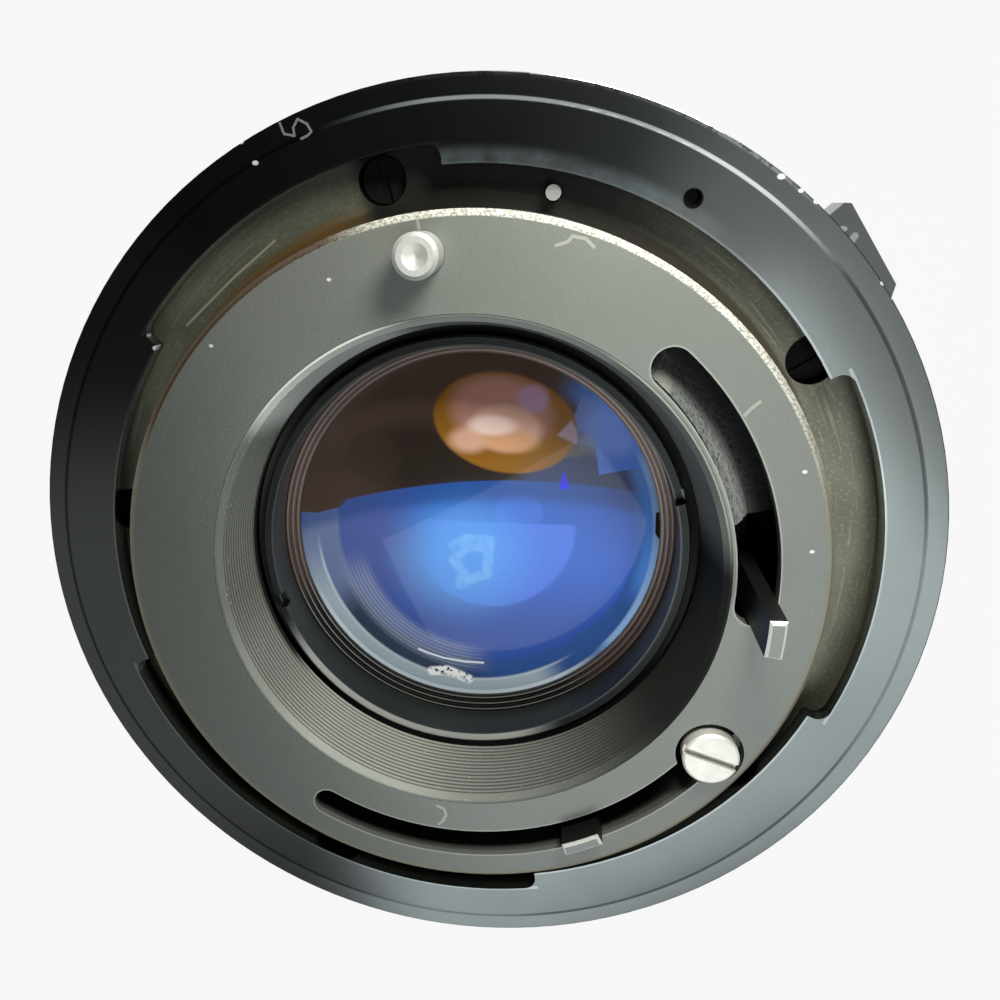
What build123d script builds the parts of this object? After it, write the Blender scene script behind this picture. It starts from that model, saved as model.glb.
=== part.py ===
"""Telephoto zoom lens with a breech-lock rear mount, in millimetres.

The lens stands on its front rim. +Z is the optical axis and points out of the
rear mount. z = 0 is the flange seat, the plane that meets the camera, and the
origin is where the optical axis crosses it. Angles are read from behind the
lens, anticlockwise from +X.
"""

import os
from math import asin, atan2, cos, degrees, hypot, radians, sin, sqrt

from build123d import *

# Fits and gaps
run_gap = 0.08          # a turning or sliding fit, measured on the radius
seat_gap = 0.03         # pieces that are fixed in one another
end_gap = 0.10          # play beside a moving piece, along the axis
pass_gap = 0.45         # room round a piece that only passes by
touch_gap = 0.02        # two curved faces that rest on each other
screw_gap = 0.15        # a screw in its clearance hole
over = 1.0              # how far a cutting tool runs past what it cuts

# Rear disc, its spigot wall and the opening in it
spigot_r = 23.9         # fits a 48 mm camera throat
spigot_height = 7.0
plate_thick = 1.2
spigot_wall = 1.7
register_step = 0.95    # the wall is thinner where it goes down into the flange
register_depth = 2.4
disc_chamfer = 0.25
disc_edge = 0.2         # between a slot and the spigot wall
disc_rib = 0.3          # between a slot and the light trap
trap_flare = 0.8        # the ridged light trap widens towards the disc's face
trap_room = 0.65        # the gap round the rear cell
trap_depth = 6.0
trap_wall = 0.5
trap_rim = 0.5
trap_rim_flare = 0.35
trap_collar = 0.25
trap_collar_height = 1.0
trap_waist = 0.2
trap_ridges = 14
trap_ridge_depth = 0.16
trap_ridge_slope = 0.85 # the share of a ridge's height

# Mount flange and what passes through it
flange_rim = 1.3
flange_overlap = 1.0    # how far the flange covers the breech ring
flange_thick = 2.6
screw_circle_gap = 2.6
screw_count = 5
screw_first = 32.5
screw_head_r = 1.5
screw_head_height = 0.9
screw_sink = 1.1        # the heads lie this far below the flange's face
screw_shank_r = 0.9
screw_length = 5.0
screw_slot = 0.5

# Pins that stand out of the mount
signal_pin_r = 1.4
signal_pin_height = 3.4
signal_pin_root = 2.2
signal_pin_bevel = 0.25
signal_pin_dimple_r = 0.8
signal_pin_inset = 0.8
signal_pin_angle = 98.0
ae_inset = 1.1
ae_angle = 325.3
ae_head_r = 1.9
ae_head_height = 1.6
ae_proud = 0.8
ae_hole_r = 2.3
ae_stem_r = 0.8
ae_collar_r = 1.5
ae_collar_height = 0.9
ae_slot_width = 0.5
ae_slot_depth = 0.6
ae_slot_angle = 18.0
ae_bevel = 0.15
ae_travel = 0.8
ae_wire_r = 0.18
ae_coil_r = 1.08
ae_coils = 4
lock_circle_gap = 1.4
lock_angle = 79.0
lock_pin_r = 0.5
lock_pin_height = 1.8
lock_pin_length = 6.0
lock_travel = 1.4

# Breech ring
breech_wall = 2.75
breech_edge_step = 1.55
breech_room = 0.25
breech_bevel = 0.3
breech_face_below_disc = 3.8
breech_edge_drop = 0.4
lug_room = 2.7          # the camera's bayonet goes between spigot and lugs
lug_reach = 1.3
lug_thick = 1.4
lug_corner = 0.9
cut_starts = (94.9, 201.1, 336.8)
cut_spans = (51.6, 81.4, 53.6)
breech_band = 6.4
breech_turn = 58.0
breech_flutes = 44
flute_r = 3.4
flute_depth = 0.32
flute_rim = 1.0         # the plain rim over the flutes
breech_hole_angle = 61.3
breech_hole_inset = 1.4
breech_hole_r = 0.45
breech_hole_depth = 0.8
stop_screw_r = 0.8
stop_angle = 230.0
stop_reach = 0.7
stop_play = 0.5

# Rear housing
washer_thick = 0.6
washer_inset = 0.7
drum_step = 0.72
inner_wall = 1.5
cavity = 1.7
tail_wall = 1.29
tail_length = 7.5

# Aperture ring, its levers' guide and its clicks
aperture_wall = 2.7
aperture_bevel = 0.2
aperture_width = 7.8
aperture_turn = (-27.0, 18.0)
aperture_clicks = 6
aperture_lobes = 18
lobe_cut_r = 7.0
lobe_depth = 0.55
lobe_width = 3.5
lobe_angle = 10.0
fin_height = 3.95
fin_root = 0.8
fin_tip_drop = 0.35
fin_tip_angle = 0.6
fin_high_angle = 43.4
fin_run_drop = 0.35     # the fin's back falls slowly as far as this angle
fin_run_angle = 31.7
fin_low_angle = 24.0
fin_drop = 0.3
fin_width = 3.6
click_ball_r = 0.9
click_angle = 150.0
click_depth = 0.22
click_leaf = 0.25
guide_plate_thick = 1.2
guide_plate_seat = 1.32
link_angle = 190.0
link_screw_r = 0.8
link_screw_depth = 1.2
link_drop = 2.3

# Signal lever in the bottom slot
signal_ring_rim = 0.05
signal_ring_wall = 2.0
signal_ring_thick = 2.2
signal_lever_inset = 0.35
signal_lever_thick = 0.85
signal_lever_angle = 295.3
signal_lever_width = 2.8
signal_lever_height = 2.0
signal_slot_width = 2.0
signal_slot_start = 242.0
signal_slot_end = 318.3
clip_thick = 0.6
clip_width = 0.7
clip_opening = 40.0
clip_angle = 90.0

# Stop-down lever in the right-hand slot
stop_lever_room = 0.66  # between the two levers' parts
stop_lever_inset = 0.35
stop_lever_thick = 1.04
stop_lever_angle = 357.9
stop_lever_width = 2.5
stop_lever_height = 6.0
stop_lever_turn = 46.0
stop_slot_width = 2.7
stop_slot_ends = (357.2, 48.8)
lever_chamfer = 0.2
spring_wire_r = 0.3
spring_room = 1.12
spring_span = 270.0
spring_play = 1.0

# Iris
blade_count = 6
blade_thick = 0.14
blade_pitch = 0.20
blade_band = 5.1
blade_show = 0.8        # how far the open blades stand into the opening
blade_span = 108.0
blade_turn = 28.0
blade_first = 2.5
pivot_margin = 1.2
blade_tail = 4.0
blade_pin_r = 0.4
blade_lobe_r = 0.95
blade_root = 6.0
blade_neck = (1.2, 0.4)
drive_rim = 0.7
drive_margin = 3.4
drive_thick = 1.0
iris_step = 0.85
iris_wall = 0.85
iris_floor = 1.0
iris_cover_thick = 1.2
iris_cover_gap = 1.2
iris_ledge = 3.0
iris_ledge_width = 2.33

# Relay group: the rear cell that shows, its tube, and the cell before the iris
cell_wall = 1.15
cell_below_disc = 5.6
cell_lip = 0.75
cell_chamfer = 0.15
cell_lip_depth = 4.8
cell_length = 9.4
cell_rise = 1.4
cell_seat = 1.0
notch_width = 1.1
notch_depth = 1.0
notch_angles = (18.1, 198.2)
rear_ring_lip = 0.6
rear_ring_thick = 1.0
rear_ring_steps = 3
rear_glass_edge = 3.6
rear_glass_bulge = 1.3
rear_glass_hollow = 1.0
relay_tube_wall = 0.7
relay_tube_lip_width = 0.9
relay_tube_lip = 1.0
inner_glass_edge = 3.0
inner_glass_bulge = 0.8
front_cell_length = 26.0
relay_cell_wall = 4.5
relay_glass_edge = 7.0
relay_glass_depth = 10.0
relay_glass_bulge = 1.8
relay_cell_step = 1.5

# Main barrel and guide tube
barrel_wall = 1.4
index_width = 4.9
index_step = 0.5
index_fall = 1.9
index_taper = 1.6
guide_wall = 1.4
guide_flange = 3.0
cam_wall = 1.44
cam_clearance = 0.28
cam_ring_width = 2.0
roller_r = 1.5
roller_core_r = 1.0
slot_count = 3

# Zoom sleeve and grip
zoom_travel = 27.0
cam_turn = 45.0
sleeve_clearance = 3.5
sleeve_length = 62.0
sleeve_neck_wall = 0.62
sleeve_step = 0.5
sleeve_ring_width = 2.0
sleeve_ring_wall = 1.9
sleeve_chamfer = 0.6
lip_width = 1.8
drive_screw_depth = 31.0
drive_screw_head_r = 2.2
grip_gap = 0.1
grip_wall = 1.5
rubber_thick = 1.4
rubber_front_margin = 4.5
rubber_rear_margin = 6.0
rubber_bevel = 0.4
rubber_ribs = 40
rib_margin = 2.0
rib_groove = 1.3
rib_depth = 0.6
key_gap = 0.1
key_thick = 0.7
key_cover = 0.7
key_width = 6.0
key_length = 45.0
key_root = 6.0

# Variator and compensator, carried by rollers in the guide tube
variator_travel = 25.0
compensator_travel = 8.0
variator_margin = 9.1   # from the cam barrel's front end to the first roller
group_gap = 12.0
carrier_length = (14.0, 10.0)
carrier_wall = 2.6
carrier_web = 3.0       # the web between the outer wall and the cup of the glass
carrier_cup = 1.4
carrier_lip = 1.5
carrier_seat = 1.0
carrier_glass_r = (13.0, 15.0)
carrier_glass_edge = (3.5, 5.0)
carrier_bulge = (-1.6, 2.2)
roller_angle = 60.0
roller_play = 0.5
cam_slot_steps = 6

# Front end
helicoid_gap = 1.0
barrel_end_gap = 0.4
helicoid_bearing = 18.0
helicoid_thread = 12.6
helicoid_groove_depth = 0.6
helicoid_screw_r = 0.8
helicoid_screw_drop = 9.0
helicoid_screw_angle = 40.0
helicoid_screw_sink = 0.2
helicoid_chamfer = 0.5
barrel_room = 10.8      # in front of the guide tube
thread_step = 0.2
skirt_wall = 1.32
skirt_above = 1.3
front_gap = 0.5
front_length = 11.5
front_wall = 3.4
filter_step = 0.1       # brings the thread's root to that of a 55 mm filter
filter_depth = 4.5
front_glass_step = 1.2
front_glass_edge = 4.5
inner_front_edge = 6.0
inner_front_hollow = 1.0
front_glass_bulge = 3.2
cement_sag = 2.4
front_seat_width = 1.8
front_seat = 2.0
front_ring_width = 3.5
front_ring_lip = 0.9
front_ring_step = 0.9
guide_key_width = 3.0
guide_key_length = 3.0
guide_key_height = 0.9
guide_key_rise = 0.2
front_chamfer = 0.5

# Heights that follow from the sizes above
flange_low = -flange_thick
breech_high = spigot_height - breech_face_below_disc
washer_high = flange_low - breech_band
washer_low = washer_high - washer_thick
aperture_high = washer_low - end_gap
aperture_low = aperture_high - aperture_width
index_high = aperture_low - end_gap
index_low = index_high - index_width
tail_low = index_low - tail_length
guide_plate_low = flange_low - guide_plate_thick
link_z = aperture_high - link_drop
signal_ring_high = link_z + signal_ring_thick / 2
signal_ring_low = link_z - signal_ring_thick / 2
signal_ledge = signal_ring_low - end_gap
cover_high = signal_ledge - iris_cover_gap
cover_low = cover_high - iris_cover_thick
drive_high = cover_low - end_gap
drive_low = drive_high - drive_thick
blade_high = drive_low - end_gap
blade_low = blade_high - blade_thick - (blade_count - 1) * blade_pitch
floor_high = blade_low - end_gap / 2
floor_low = floor_high - iris_floor
ledge_low = floor_low - iris_ledge
cell_high = spigot_height - cell_below_disc
cell_low = cell_high - cell_length
rear_glass_high = cell_high - cell_lip_depth
inner_seat = cover_high + relay_tube_lip
guide_low_of_flange = tail_low - guide_flange
cam_high = guide_low_of_flange - end_gap
sleeve_high = index_low - sleeve_clearance - zoom_travel
sleeve_low = sleeve_high - sleeve_length
sleeve_ring_low = sleeve_high - sleeve_ring_width
lip_high = sleeve_ring_low - end_gap
lip_low = lip_high - lip_width
sleeve_shoulder = lip_low - end_gap
drive_screw_z = sleeve_high - drive_screw_depth
helicoid_high = sleeve_low - helicoid_gap
barrel_low = helicoid_high - helicoid_bearing
cam_ring_low = barrel_low + barrel_room
cam_ring_high = cam_ring_low + cam_ring_width
cam_low = cam_ring_high + end_gap
variator_z = cam_low + variator_margin
compensator_z = variator_z + variator_travel + group_gap
groove_z = helicoid_high - helicoid_screw_drop
thread_high = barrel_low - barrel_end_gap
helicoid_low = thread_high - helicoid_thread
front_high = helicoid_low - front_gap
front_rim = front_high - front_length
skirt_high = cam_ring_low - skirt_above
front_ring_low = front_rim + filter_depth
front_glass_low = front_ring_low + front_ring_width
cement_z = front_glass_low + front_glass_edge
front_ledge = cement_z + inner_front_edge
guide_key_low = barrel_low + guide_key_rise

# Radii that follow, from the spigot inwards
spigot_bore_r = spigot_r - spigot_wall
register_r = spigot_r - register_step
signal_pin_circle_r = spigot_bore_r - signal_pin_inset
ae_circle_r = spigot_bore_r - ae_inset
signal_slot_r = spigot_bore_r - disc_edge - signal_slot_width / 2
signal_lever_in = signal_slot_r - signal_lever_inset
signal_lever_r = (signal_lever_in, signal_lever_in + signal_lever_thick)
signal_ring_in = signal_lever_in - signal_ring_rim
signal_ring_out = signal_ring_in + signal_ring_wall
stop_lever_out = signal_ring_in - stop_lever_room
stop_lever_r = (stop_lever_out - stop_lever_thick, stop_lever_out)
stop_slot_r = stop_lever_r[0] + stop_lever_inset
trap_r = stop_slot_r - stop_slot_width / 2 - disc_rib
trap_top_r = trap_r - trap_wall
trap_low_r = trap_top_r - trap_flare
cell_r = trap_low_r - trap_room
rear_glass_r = cell_r - cell_wall
rear_ring_hole_r = rear_glass_r - rear_ring_lip
relay_tube_r = cell_r + seat_gap + relay_tube_wall
relay_tube_lip_r = rear_glass_r - relay_tube_lip_width
spring_r = relay_tube_r + spring_room

# Radii that follow, from the spigot outwards
lock_circle_r = spigot_r + lock_circle_gap
screw_circle_r = spigot_r + screw_circle_gap
lug_r = spigot_r + lug_room
lug_cut_r = lug_r + lug_reach
breech_hole_circle_r = lug_r + breech_hole_inset
flange_r = lug_cut_r + flange_rim
breech_r = flange_r + breech_wall
breech_edge_r = breech_r - breech_edge_step
neck_r = flange_r - flange_overlap
breech_bore_r = neck_r + run_gap
drum_r = neck_r + drum_step
aperture_bore_r = drum_r + run_gap
aperture_r = aperture_bore_r + aperture_wall
fin_r = aperture_r + fin_height
washer_r = aperture_r - washer_inset
index_r = aperture_r - index_step
index_front_r = index_r - index_fall

# Radii that follow, inside the rear housing
signal_bore_r = signal_ring_out + run_gap
guide_plate_r = signal_bore_r + guide_plate_seat
wall_out_r = signal_bore_r + inner_wall
cavity_r = wall_out_r + cavity
iris_r = signal_bore_r - iris_step
iris_wall_r = iris_r - iris_wall
cover_r = iris_wall_r + iris_wall / 2
iris_ledge_r = iris_r - iris_ledge_width
relay_glass_r = iris_ledge_r - relay_cell_wall
drive_out = iris_wall_r - run_gap
pivot_circle_r = drive_out - drive_margin
drive_in = pivot_circle_r - drive_rim
blade_out = pivot_circle_r - pivot_margin
blade_in = blade_out - blade_band
iris_opening_r = blade_in + blade_show

# Radii that follow, from the main barrel's bore
barrel_bore_r = cavity_r + tail_wall + seat_gap
barrel_r = barrel_bore_r + barrel_wall
guide_r = barrel_bore_r - cam_clearance - cam_wall - run_gap
cam_r = guide_r + run_gap + cam_wall
guide_bore_r = guide_r - guide_wall
carrier_r = guide_bore_r - run_gap
sleeve_neck_r = barrel_r + run_gap + sleeve_neck_wall
sleeve_r = sleeve_neck_r + sleeve_step
sleeve_ring_r = sleeve_neck_r + sleeve_ring_wall
grip_bore_r = sleeve_r + grip_gap
grip_r = grip_bore_r + grip_wall
rubber_r = grip_r + rubber_thick
key_in = grip_bore_r + key_gap
key_out = key_in + key_thick
helicoid_r = key_out + key_cover
thread_r = barrel_bore_r - thread_step
skirt_out_r = thread_r - run_gap
skirt_r = skirt_out_r - skirt_wall
front_glass_r = skirt_r - front_glass_step
front_seat_r = front_glass_r - front_seat_width
front_ring_r = front_glass_r + front_ring_step
filter_r = thread_r + filter_step
front_r = filter_r + front_wall

# The stop of the breech ring and the clicks of the aperture ring
stop_z = washer_high + breech_band / 2
click_z = aperture_low + aperture_width / 4
click_ball_top_r = drum_r + run_gap / 2
click_floor_r = click_ball_top_r - 2 * click_ball_r - click_leaf


def turned(points):
    """A solid turned about the optical axis from (radius, height) points."""
    return revolve(Plane.XZ * make_face(Polyline(*points, close=True)), Axis.Z)


def ring(r_in, r_out, low, high):
    """A plain ring between two radii and two heights."""
    return turned([(r_in, low), (r_out, low), (r_out, high), (r_in, high)])


def sector(r_in, r_out, start, span, low, high):
    """A piece of a ring, from one angle anticlockwise over a span."""
    outer = CenterArc((0, 0), r_out, start, span)
    inner = CenterArc((0, 0), r_in, start, span)
    sides = Line(inner @ 0, outer @ 0) + Line(inner @ 1, outer @ 1)
    return Pos(0, 0, low) * extrude(make_face(outer + inner + sides), high - low)


def arc_slot(radius, width, start, end, low, high):
    """The tool for a slot with round ends along an arc about the axis."""
    centre_line = CenterArc((0, 0), radius, start, (end - start) % 360)
    return Pos(0, 0, low) * extrude(SlotArc(centre_line.edge(), width), high - low)


def peg(radius, circle_r, angle, low, high):
    """A cylinder along the axis, off centre."""
    spot = Rot(0, 0, angle) * Pos(circle_r, 0, low)
    return spot * extrude(Circle(radius), high - low)


def radial_peg(radius, angle, height, r_in, r_out):
    """A cylinder that points away from the axis."""
    outward = (cos(radians(angle)), sin(radians(angle)), 0)
    start = Plane(origin=(outward[0] * r_in, outward[1] * r_in, height), z_dir=outward)
    return start * extrude(Circle(radius), r_out - r_in)


def around(shape, count):
    """Equal copies about the axis."""
    return [Rot(0, 0, 360 * i / count) * shape for i in range(count)]


def half_angle(width, radius):
    """Half the angle that a width spans at a radius, in degrees."""
    return degrees(asin(width / 2 / radius))


def glass(radius, low, high, low_bulge, high_bulge):
    """A lens element: each face bulges outwards, or inwards if negative."""
    def surface(edge_z, bulge, way):
        if abs(bulge) < 1e-6:
            return Line((0, edge_z), (radius, edge_z))
        curve_r = (radius**2 + bulge**2) / (2 * abs(bulge))
        half = asin(radius / curve_r) / 2
        drop = curve_r * (1 - cos(half))
        top = edge_z + way * bulge
        middle = top - way * drop * (1 if bulge > 0 else -1)
        return ThreePointArc((0, top), (curve_r * sin(half), middle), (radius, edge_z))
    upper = surface(high, high_bulge, 1)
    lower = surface(low, low_bulge, -1)
    outline = upper + lower + Line(upper @ 0, lower @ 0) + Line(upper @ 1, lower @ 1)
    return revolve(Plane.XZ * make_face(outline), Axis.Z)


def rise_of_glass(radius, bulge, at_r):
    """How far a bulging face stands above its edge, at a smaller radius."""
    curve_r = (radius**2 + bulge**2) / (2 * bulge)
    return sqrt(curve_r**2 - at_r**2) - sqrt(curve_r**2 - radius**2)


def roller_slot(angle, start_z, travel, r_in, r_out):
    """The tool for a roller's straight slot along the axis, with round ends."""
    outward = (cos(radians(angle)), sin(radians(angle)), 0)
    r_start = r_in - over
    spot = (outward[0] * r_start, outward[1] * r_start, start_z + travel / 2)
    plane = Plane(origin=spot, x_dir=(0, 0, 1), z_dir=outward)
    outline = SlotCenterToCenter(travel + 2 * roller_play, 2 * (roller_r + run_gap))
    return plane * extrude(outline, r_out + over - r_start)


def cam_slot(angle, start_z, rise):
    """The tools for a roller's slot that climbs round the cam barrel, clockwise."""
    r_in = guide_r + run_gap - over
    r_out = cam_r + over
    r_mid = (r_in + r_out) / 2
    slot_r = roller_r + run_gap
    arc_length = radians(cam_turn) * r_mid
    sections = []
    for i in range(cam_slot_steps + 1):
        share = i / cam_slot_steps
        a = radians(angle - cam_turn * share)
        spot = (cos(a) * r_mid, sin(a) * r_mid, start_z + rise * share)
        along = (sin(a) * arc_length, -cos(a) * arc_length, rise)
        plane = Plane(origin=spot, x_dir=(cos(a), sin(a), 0), z_dir=along)
        sections.append(plane * Rectangle(r_out - r_in, 2 * slot_r))
    drill_r = slot_r + touch_gap
    start = radial_peg(drill_r, angle, start_z, r_in, r_out)
    end = radial_peg(drill_r, angle - cam_turn, start_z + rise, r_in, r_out)
    return loft(sections, ruled=True), start, end


def make_mount_plate():
    """The rear disc and the spigot wall under it, which enters the camera."""
    underside = spigot_height - plate_thick
    bore = trap_r + seat_gap
    body = turned([
        (bore, underside), (spigot_bore_r, underside), (spigot_bore_r, -register_depth),
        (register_r, -register_depth), (register_r, 0), (spigot_r, 0),
        (spigot_r, spigot_height - disc_chamfer), (spigot_r - disc_chamfer, spigot_height),
        (bore, spigot_height),
    ])
    below = underside - over
    above = spigot_height + over
    head_low = spigot_height + ae_proud - ae_head_height
    body -= arc_slot(stop_slot_r, stop_slot_width, *stop_slot_ends, below, above)
    body -= arc_slot(signal_slot_r, signal_slot_width, signal_slot_start, ae_angle, below, above)
    body -= peg(ae_hole_r, ae_circle_r, ae_angle, head_low - ae_travel - end_gap, above)
    body -= peg(ae_coil_r + ae_wire_r + screw_gap, ae_circle_r, ae_angle, -register_depth - over, above)
    pin_low = spigot_height - signal_pin_root
    return body - peg(signal_pin_r + seat_gap, signal_pin_circle_r, signal_pin_angle, pin_low, above)


def make_light_trap():
    """The ridged cone that keeps stray light off the film."""
    low = spigot_height - trap_depth
    rim_low = spigot_height - trap_rim
    underside = spigot_height - plate_thick
    step = (rim_low - low) / trap_ridges
    lean = (trap_top_r - trap_low_r) / trap_ridges
    inside = [(trap_low_r, low)]
    for i in range(trap_ridges):
        root = trap_low_r + lean * i + trap_ridge_depth
        inside.append((root, low + step * (i + trap_ridge_slope)))
        inside.append((trap_low_r + lean * (i + 1), low + step * (i + 1)))
    inside.append((trap_top_r + trap_rim_flare, spigot_height))
    collar_high = underside - end_gap / 2
    collar_low = collar_high - trap_collar_height
    outside = [
        (trap_r, spigot_height), (trap_r, collar_high), (trap_r + trap_collar, collar_high),
        (trap_r + trap_collar, collar_low), (trap_r - trap_waist, collar_low),
        (trap_r - trap_waist, low),
    ]
    return turned(inside + outside)


def make_mount_flange():
    """The brass ring that meets the camera's own flange."""
    seat = -screw_sink - screw_head_height
    hole = peg(screw_head_r + screw_gap, screw_circle_r, screw_first, seat, over)
    hole += peg(screw_shank_r + screw_gap, screw_circle_r, screw_first, flange_low - over, seat)
    body = ring(register_r + seat_gap, flange_r, flange_low, 0) - around(hole, screw_count)
    return body - peg(lock_pin_r + run_gap, lock_circle_r, lock_angle, flange_low - over, over)


def make_flange_screws():
    """Slotted screws, sunk into the flange and threaded into the housing."""
    head_top = -screw_sink
    head_low = head_top - screw_head_height
    head = peg(screw_head_r, screw_circle_r, 0, head_low, head_top)
    slot = Pos(screw_circle_r, 0, head_top) * Box(2 * (screw_head_r + over), screw_slot, screw_slot)
    shank = peg(screw_shank_r, screw_circle_r, 0, head_low - screw_length, head_low)
    return Compound(children=around(Rot(0, 0, screw_first) * (head - slot + shank), screw_count))


def make_full_aperture_pin():
    """The fixed pin that tells the camera the lens's widest opening."""
    top = spigot_height + signal_pin_height
    low = spigot_height - signal_pin_root
    bevel = signal_pin_bevel
    pin = turned([
        (0, low), (signal_pin_r, low), (signal_pin_r, top - bevel), (signal_pin_r - bevel, top),
        (signal_pin_dimple_r, top), (0, top - bevel),
    ])
    return Rot(0, 0, signal_pin_angle) * Pos(signal_pin_circle_r, 0, 0) * pin


def make_ae_switch_pin():
    """The slotted pin that switches the camera to automatic exposure."""
    top = spigot_height + ae_proud
    head_low = top - ae_head_height
    collar_high = guide_plate_low - end_gap
    collar_low = collar_high - ae_collar_height
    pin = turned([
        (0, collar_low), (ae_collar_r, collar_low), (ae_collar_r, collar_high),
        (ae_stem_r, collar_high), (ae_stem_r, head_low), (ae_head_r, head_low),
        (ae_head_r, top - ae_bevel), (ae_head_r - ae_bevel, top), (0, top),
    ])
    slot = Box(2 * (ae_head_r + over), ae_slot_width, 2 * ae_slot_depth)
    pin -= Rot(0, 0, ae_slot_angle) * Pos(0, 0, top) * slot
    return Rot(0, 0, ae_angle) * Pos(ae_circle_r, 0, 0) * pin


def make_ae_pin_spring():
    """The small coil that pushes the switch pin out."""
    low = flange_low + ae_wire_r + touch_gap
    high = spigot_height + ae_proud - ae_head_height - ae_wire_r - touch_gap
    path = Helix(pitch=(high - low) / ae_coils, height=high - low, radius=ae_coil_r)
    start = Plane(origin=path @ 0, z_dir=path % 0)
    coil = sweep(start * RegularPolygon(ae_wire_r, 6), path)
    return Rot(0, 0, ae_angle) * Pos(ae_circle_r, 0, low) * coil


def make_lock_pin():
    """The sprung pin that holds the breech ring until the lens is on a camera."""
    return peg(lock_pin_r, lock_circle_r, lock_angle, lock_pin_height - lock_pin_length, lock_pin_height)


def make_breech_ring():
    """The ring whose three lugs pull the camera's bayonet onto the flange."""
    lug_low = breech_high - lug_thick
    band_high = flange_low - end_gap
    low = washer_high + end_gap
    body = turned([
        (breech_bore_r, low), (breech_r - breech_bevel, low), (breech_r, low + breech_bevel),
        (breech_r, breech_high - breech_edge_drop), (breech_edge_r, breech_high),
        (lug_r, breech_high), (lug_r, lug_low), (flange_r + breech_room, lug_low),
        (flange_r + breech_room, band_high), (breech_bore_r, band_high),
    ])
    for start, span in zip(cut_starts, cut_spans):
        tool = sector(lug_r - over, lug_cut_r, start, span, lug_low - over, breech_high + over)
        far = tool.edges().filter_by(Axis.Z).group_by(lambda e: hypot(e.center().X, e.center().Y))[-1]
        body -= fillet(far, lug_corner)
    flute_high = breech_high - breech_edge_drop - flute_rim
    flute = peg(flute_r, breech_r + flute_r - flute_depth, 0, low - over, flute_high)
    body -= around(flute, breech_flutes)
    hole_low = breech_high - breech_hole_depth
    body -= peg(breech_hole_r, breech_hole_circle_r, breech_hole_angle, hole_low, breech_high + over)
    half = half_angle(2 * stop_screw_r, neck_r) + stop_play
    start = stop_angle - half - breech_turn
    span = breech_turn + 2 * half
    low = stop_z - stop_screw_r - end_gap
    high = stop_z + stop_screw_r + end_gap
    return body - sector(breech_bore_r - over, breech_bore_r + stop_reach, start, span, low, high)


def make_breech_stop_screw():
    """The screw in the neck that stops the breech ring at both ends."""
    return radial_peg(stop_screw_r, stop_angle, stop_z, wall_out_r, breech_bore_r + stop_reach - end_gap)


def make_rear_housing():
    """The fixed body that carries the mount, both rings, the levers and the iris."""
    web_low = washer_low
    plate_bore = guide_plate_r + seat_gap
    body = turned([
        (plate_bore, flange_low), (neck_r, flange_low), (neck_r, washer_low), (drum_r, washer_low),
        (drum_r, index_low), (barrel_bore_r - seat_gap, index_low), (barrel_bore_r - seat_gap, tail_low),
        (cavity_r, tail_low), (cavity_r, web_low), (wall_out_r, web_low), (wall_out_r, ledge_low),
        (iris_ledge_r, ledge_low), (iris_ledge_r, floor_low), (iris_r + seat_gap, floor_low),
        (iris_r + seat_gap, signal_ledge), (signal_bore_r, signal_ledge),
        (signal_bore_r, guide_plate_low), (plate_bore, guide_plate_low),
    ])
    hole_low = -screw_sink - screw_head_height - screw_length - screw_gap
    hole = peg(screw_shank_r + seat_gap, screw_circle_r, screw_first, hole_low, flange_low + over)
    body -= around(hole, screw_count)
    pin_low = lock_pin_height - lock_pin_length - lock_travel - end_gap
    body -= peg(lock_pin_r + run_gap, lock_circle_r, lock_angle, pin_low, flange_low + over)
    body -= radial_peg(stop_screw_r + seat_gap, stop_angle, stop_z, wall_out_r, neck_r + over)
    body -= radial_peg(click_ball_r + run_gap, click_angle, click_z, click_floor_r, drum_r + over)
    half = half_angle(2 * (link_screw_r + pass_gap), wall_out_r)
    start = link_angle + aperture_turn[0] - half
    span = aperture_turn[1] - aperture_turn[0] + 2 * half
    reach = link_screw_r + pass_gap
    return body - sector(signal_bore_r - over, drum_r + over, start, span, link_z - reach, link_z + reach)


def make_click_ball():
    """The ball that drops into the aperture ring's dimples."""
    spot = Rot(0, 0, click_angle) * Pos(click_ball_top_r - click_ball_r, 0, click_z)
    return spot * Sphere(click_ball_r)


def make_click_spring():
    """The leaf under the click ball."""
    top_r = click_floor_r + click_leaf - touch_gap
    return radial_peg(click_ball_r - run_gap, click_angle, click_z, click_floor_r, top_r)


def make_lever_guide_plate():
    """The plate under the flange that guides both levers and the switch pin."""
    body = ring(relay_tube_r + seat_gap, guide_plate_r, guide_plate_low, flange_low)
    below = guide_plate_low - over
    above = flange_low + over
    body -= arc_slot(stop_slot_r, stop_slot_width, *stop_slot_ends, below, above)
    body -= arc_slot(signal_slot_r, signal_slot_width, signal_slot_start, signal_slot_end, below, above)
    return body - peg(ae_stem_r + run_gap, ae_circle_r, ae_angle, below, above)


def make_signal_lever():
    """The ring and lever that carry the aperture setting to the camera."""
    half = half_angle(signal_lever_width, signal_lever_r[1])
    top = spigot_height + signal_lever_height
    lever = sector(*signal_lever_r, signal_lever_angle - half, 2 * half, link_z, top)
    lever = chamfer(lever.faces().sort_by(Axis.Z)[-1].edges(), lever_chamfer)
    body = ring(signal_ring_in, signal_ring_out, signal_ring_low, signal_ring_high) + lever
    return body - radial_peg(link_screw_r, link_angle, link_z, signal_ring_in - over, signal_ring_out + over)


def make_aperture_link_screw():
    """The screw that joins the aperture ring to the signal lever's ring."""
    return radial_peg(link_screw_r, link_angle, link_z, signal_ring_in, aperture_r - link_screw_depth)


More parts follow.
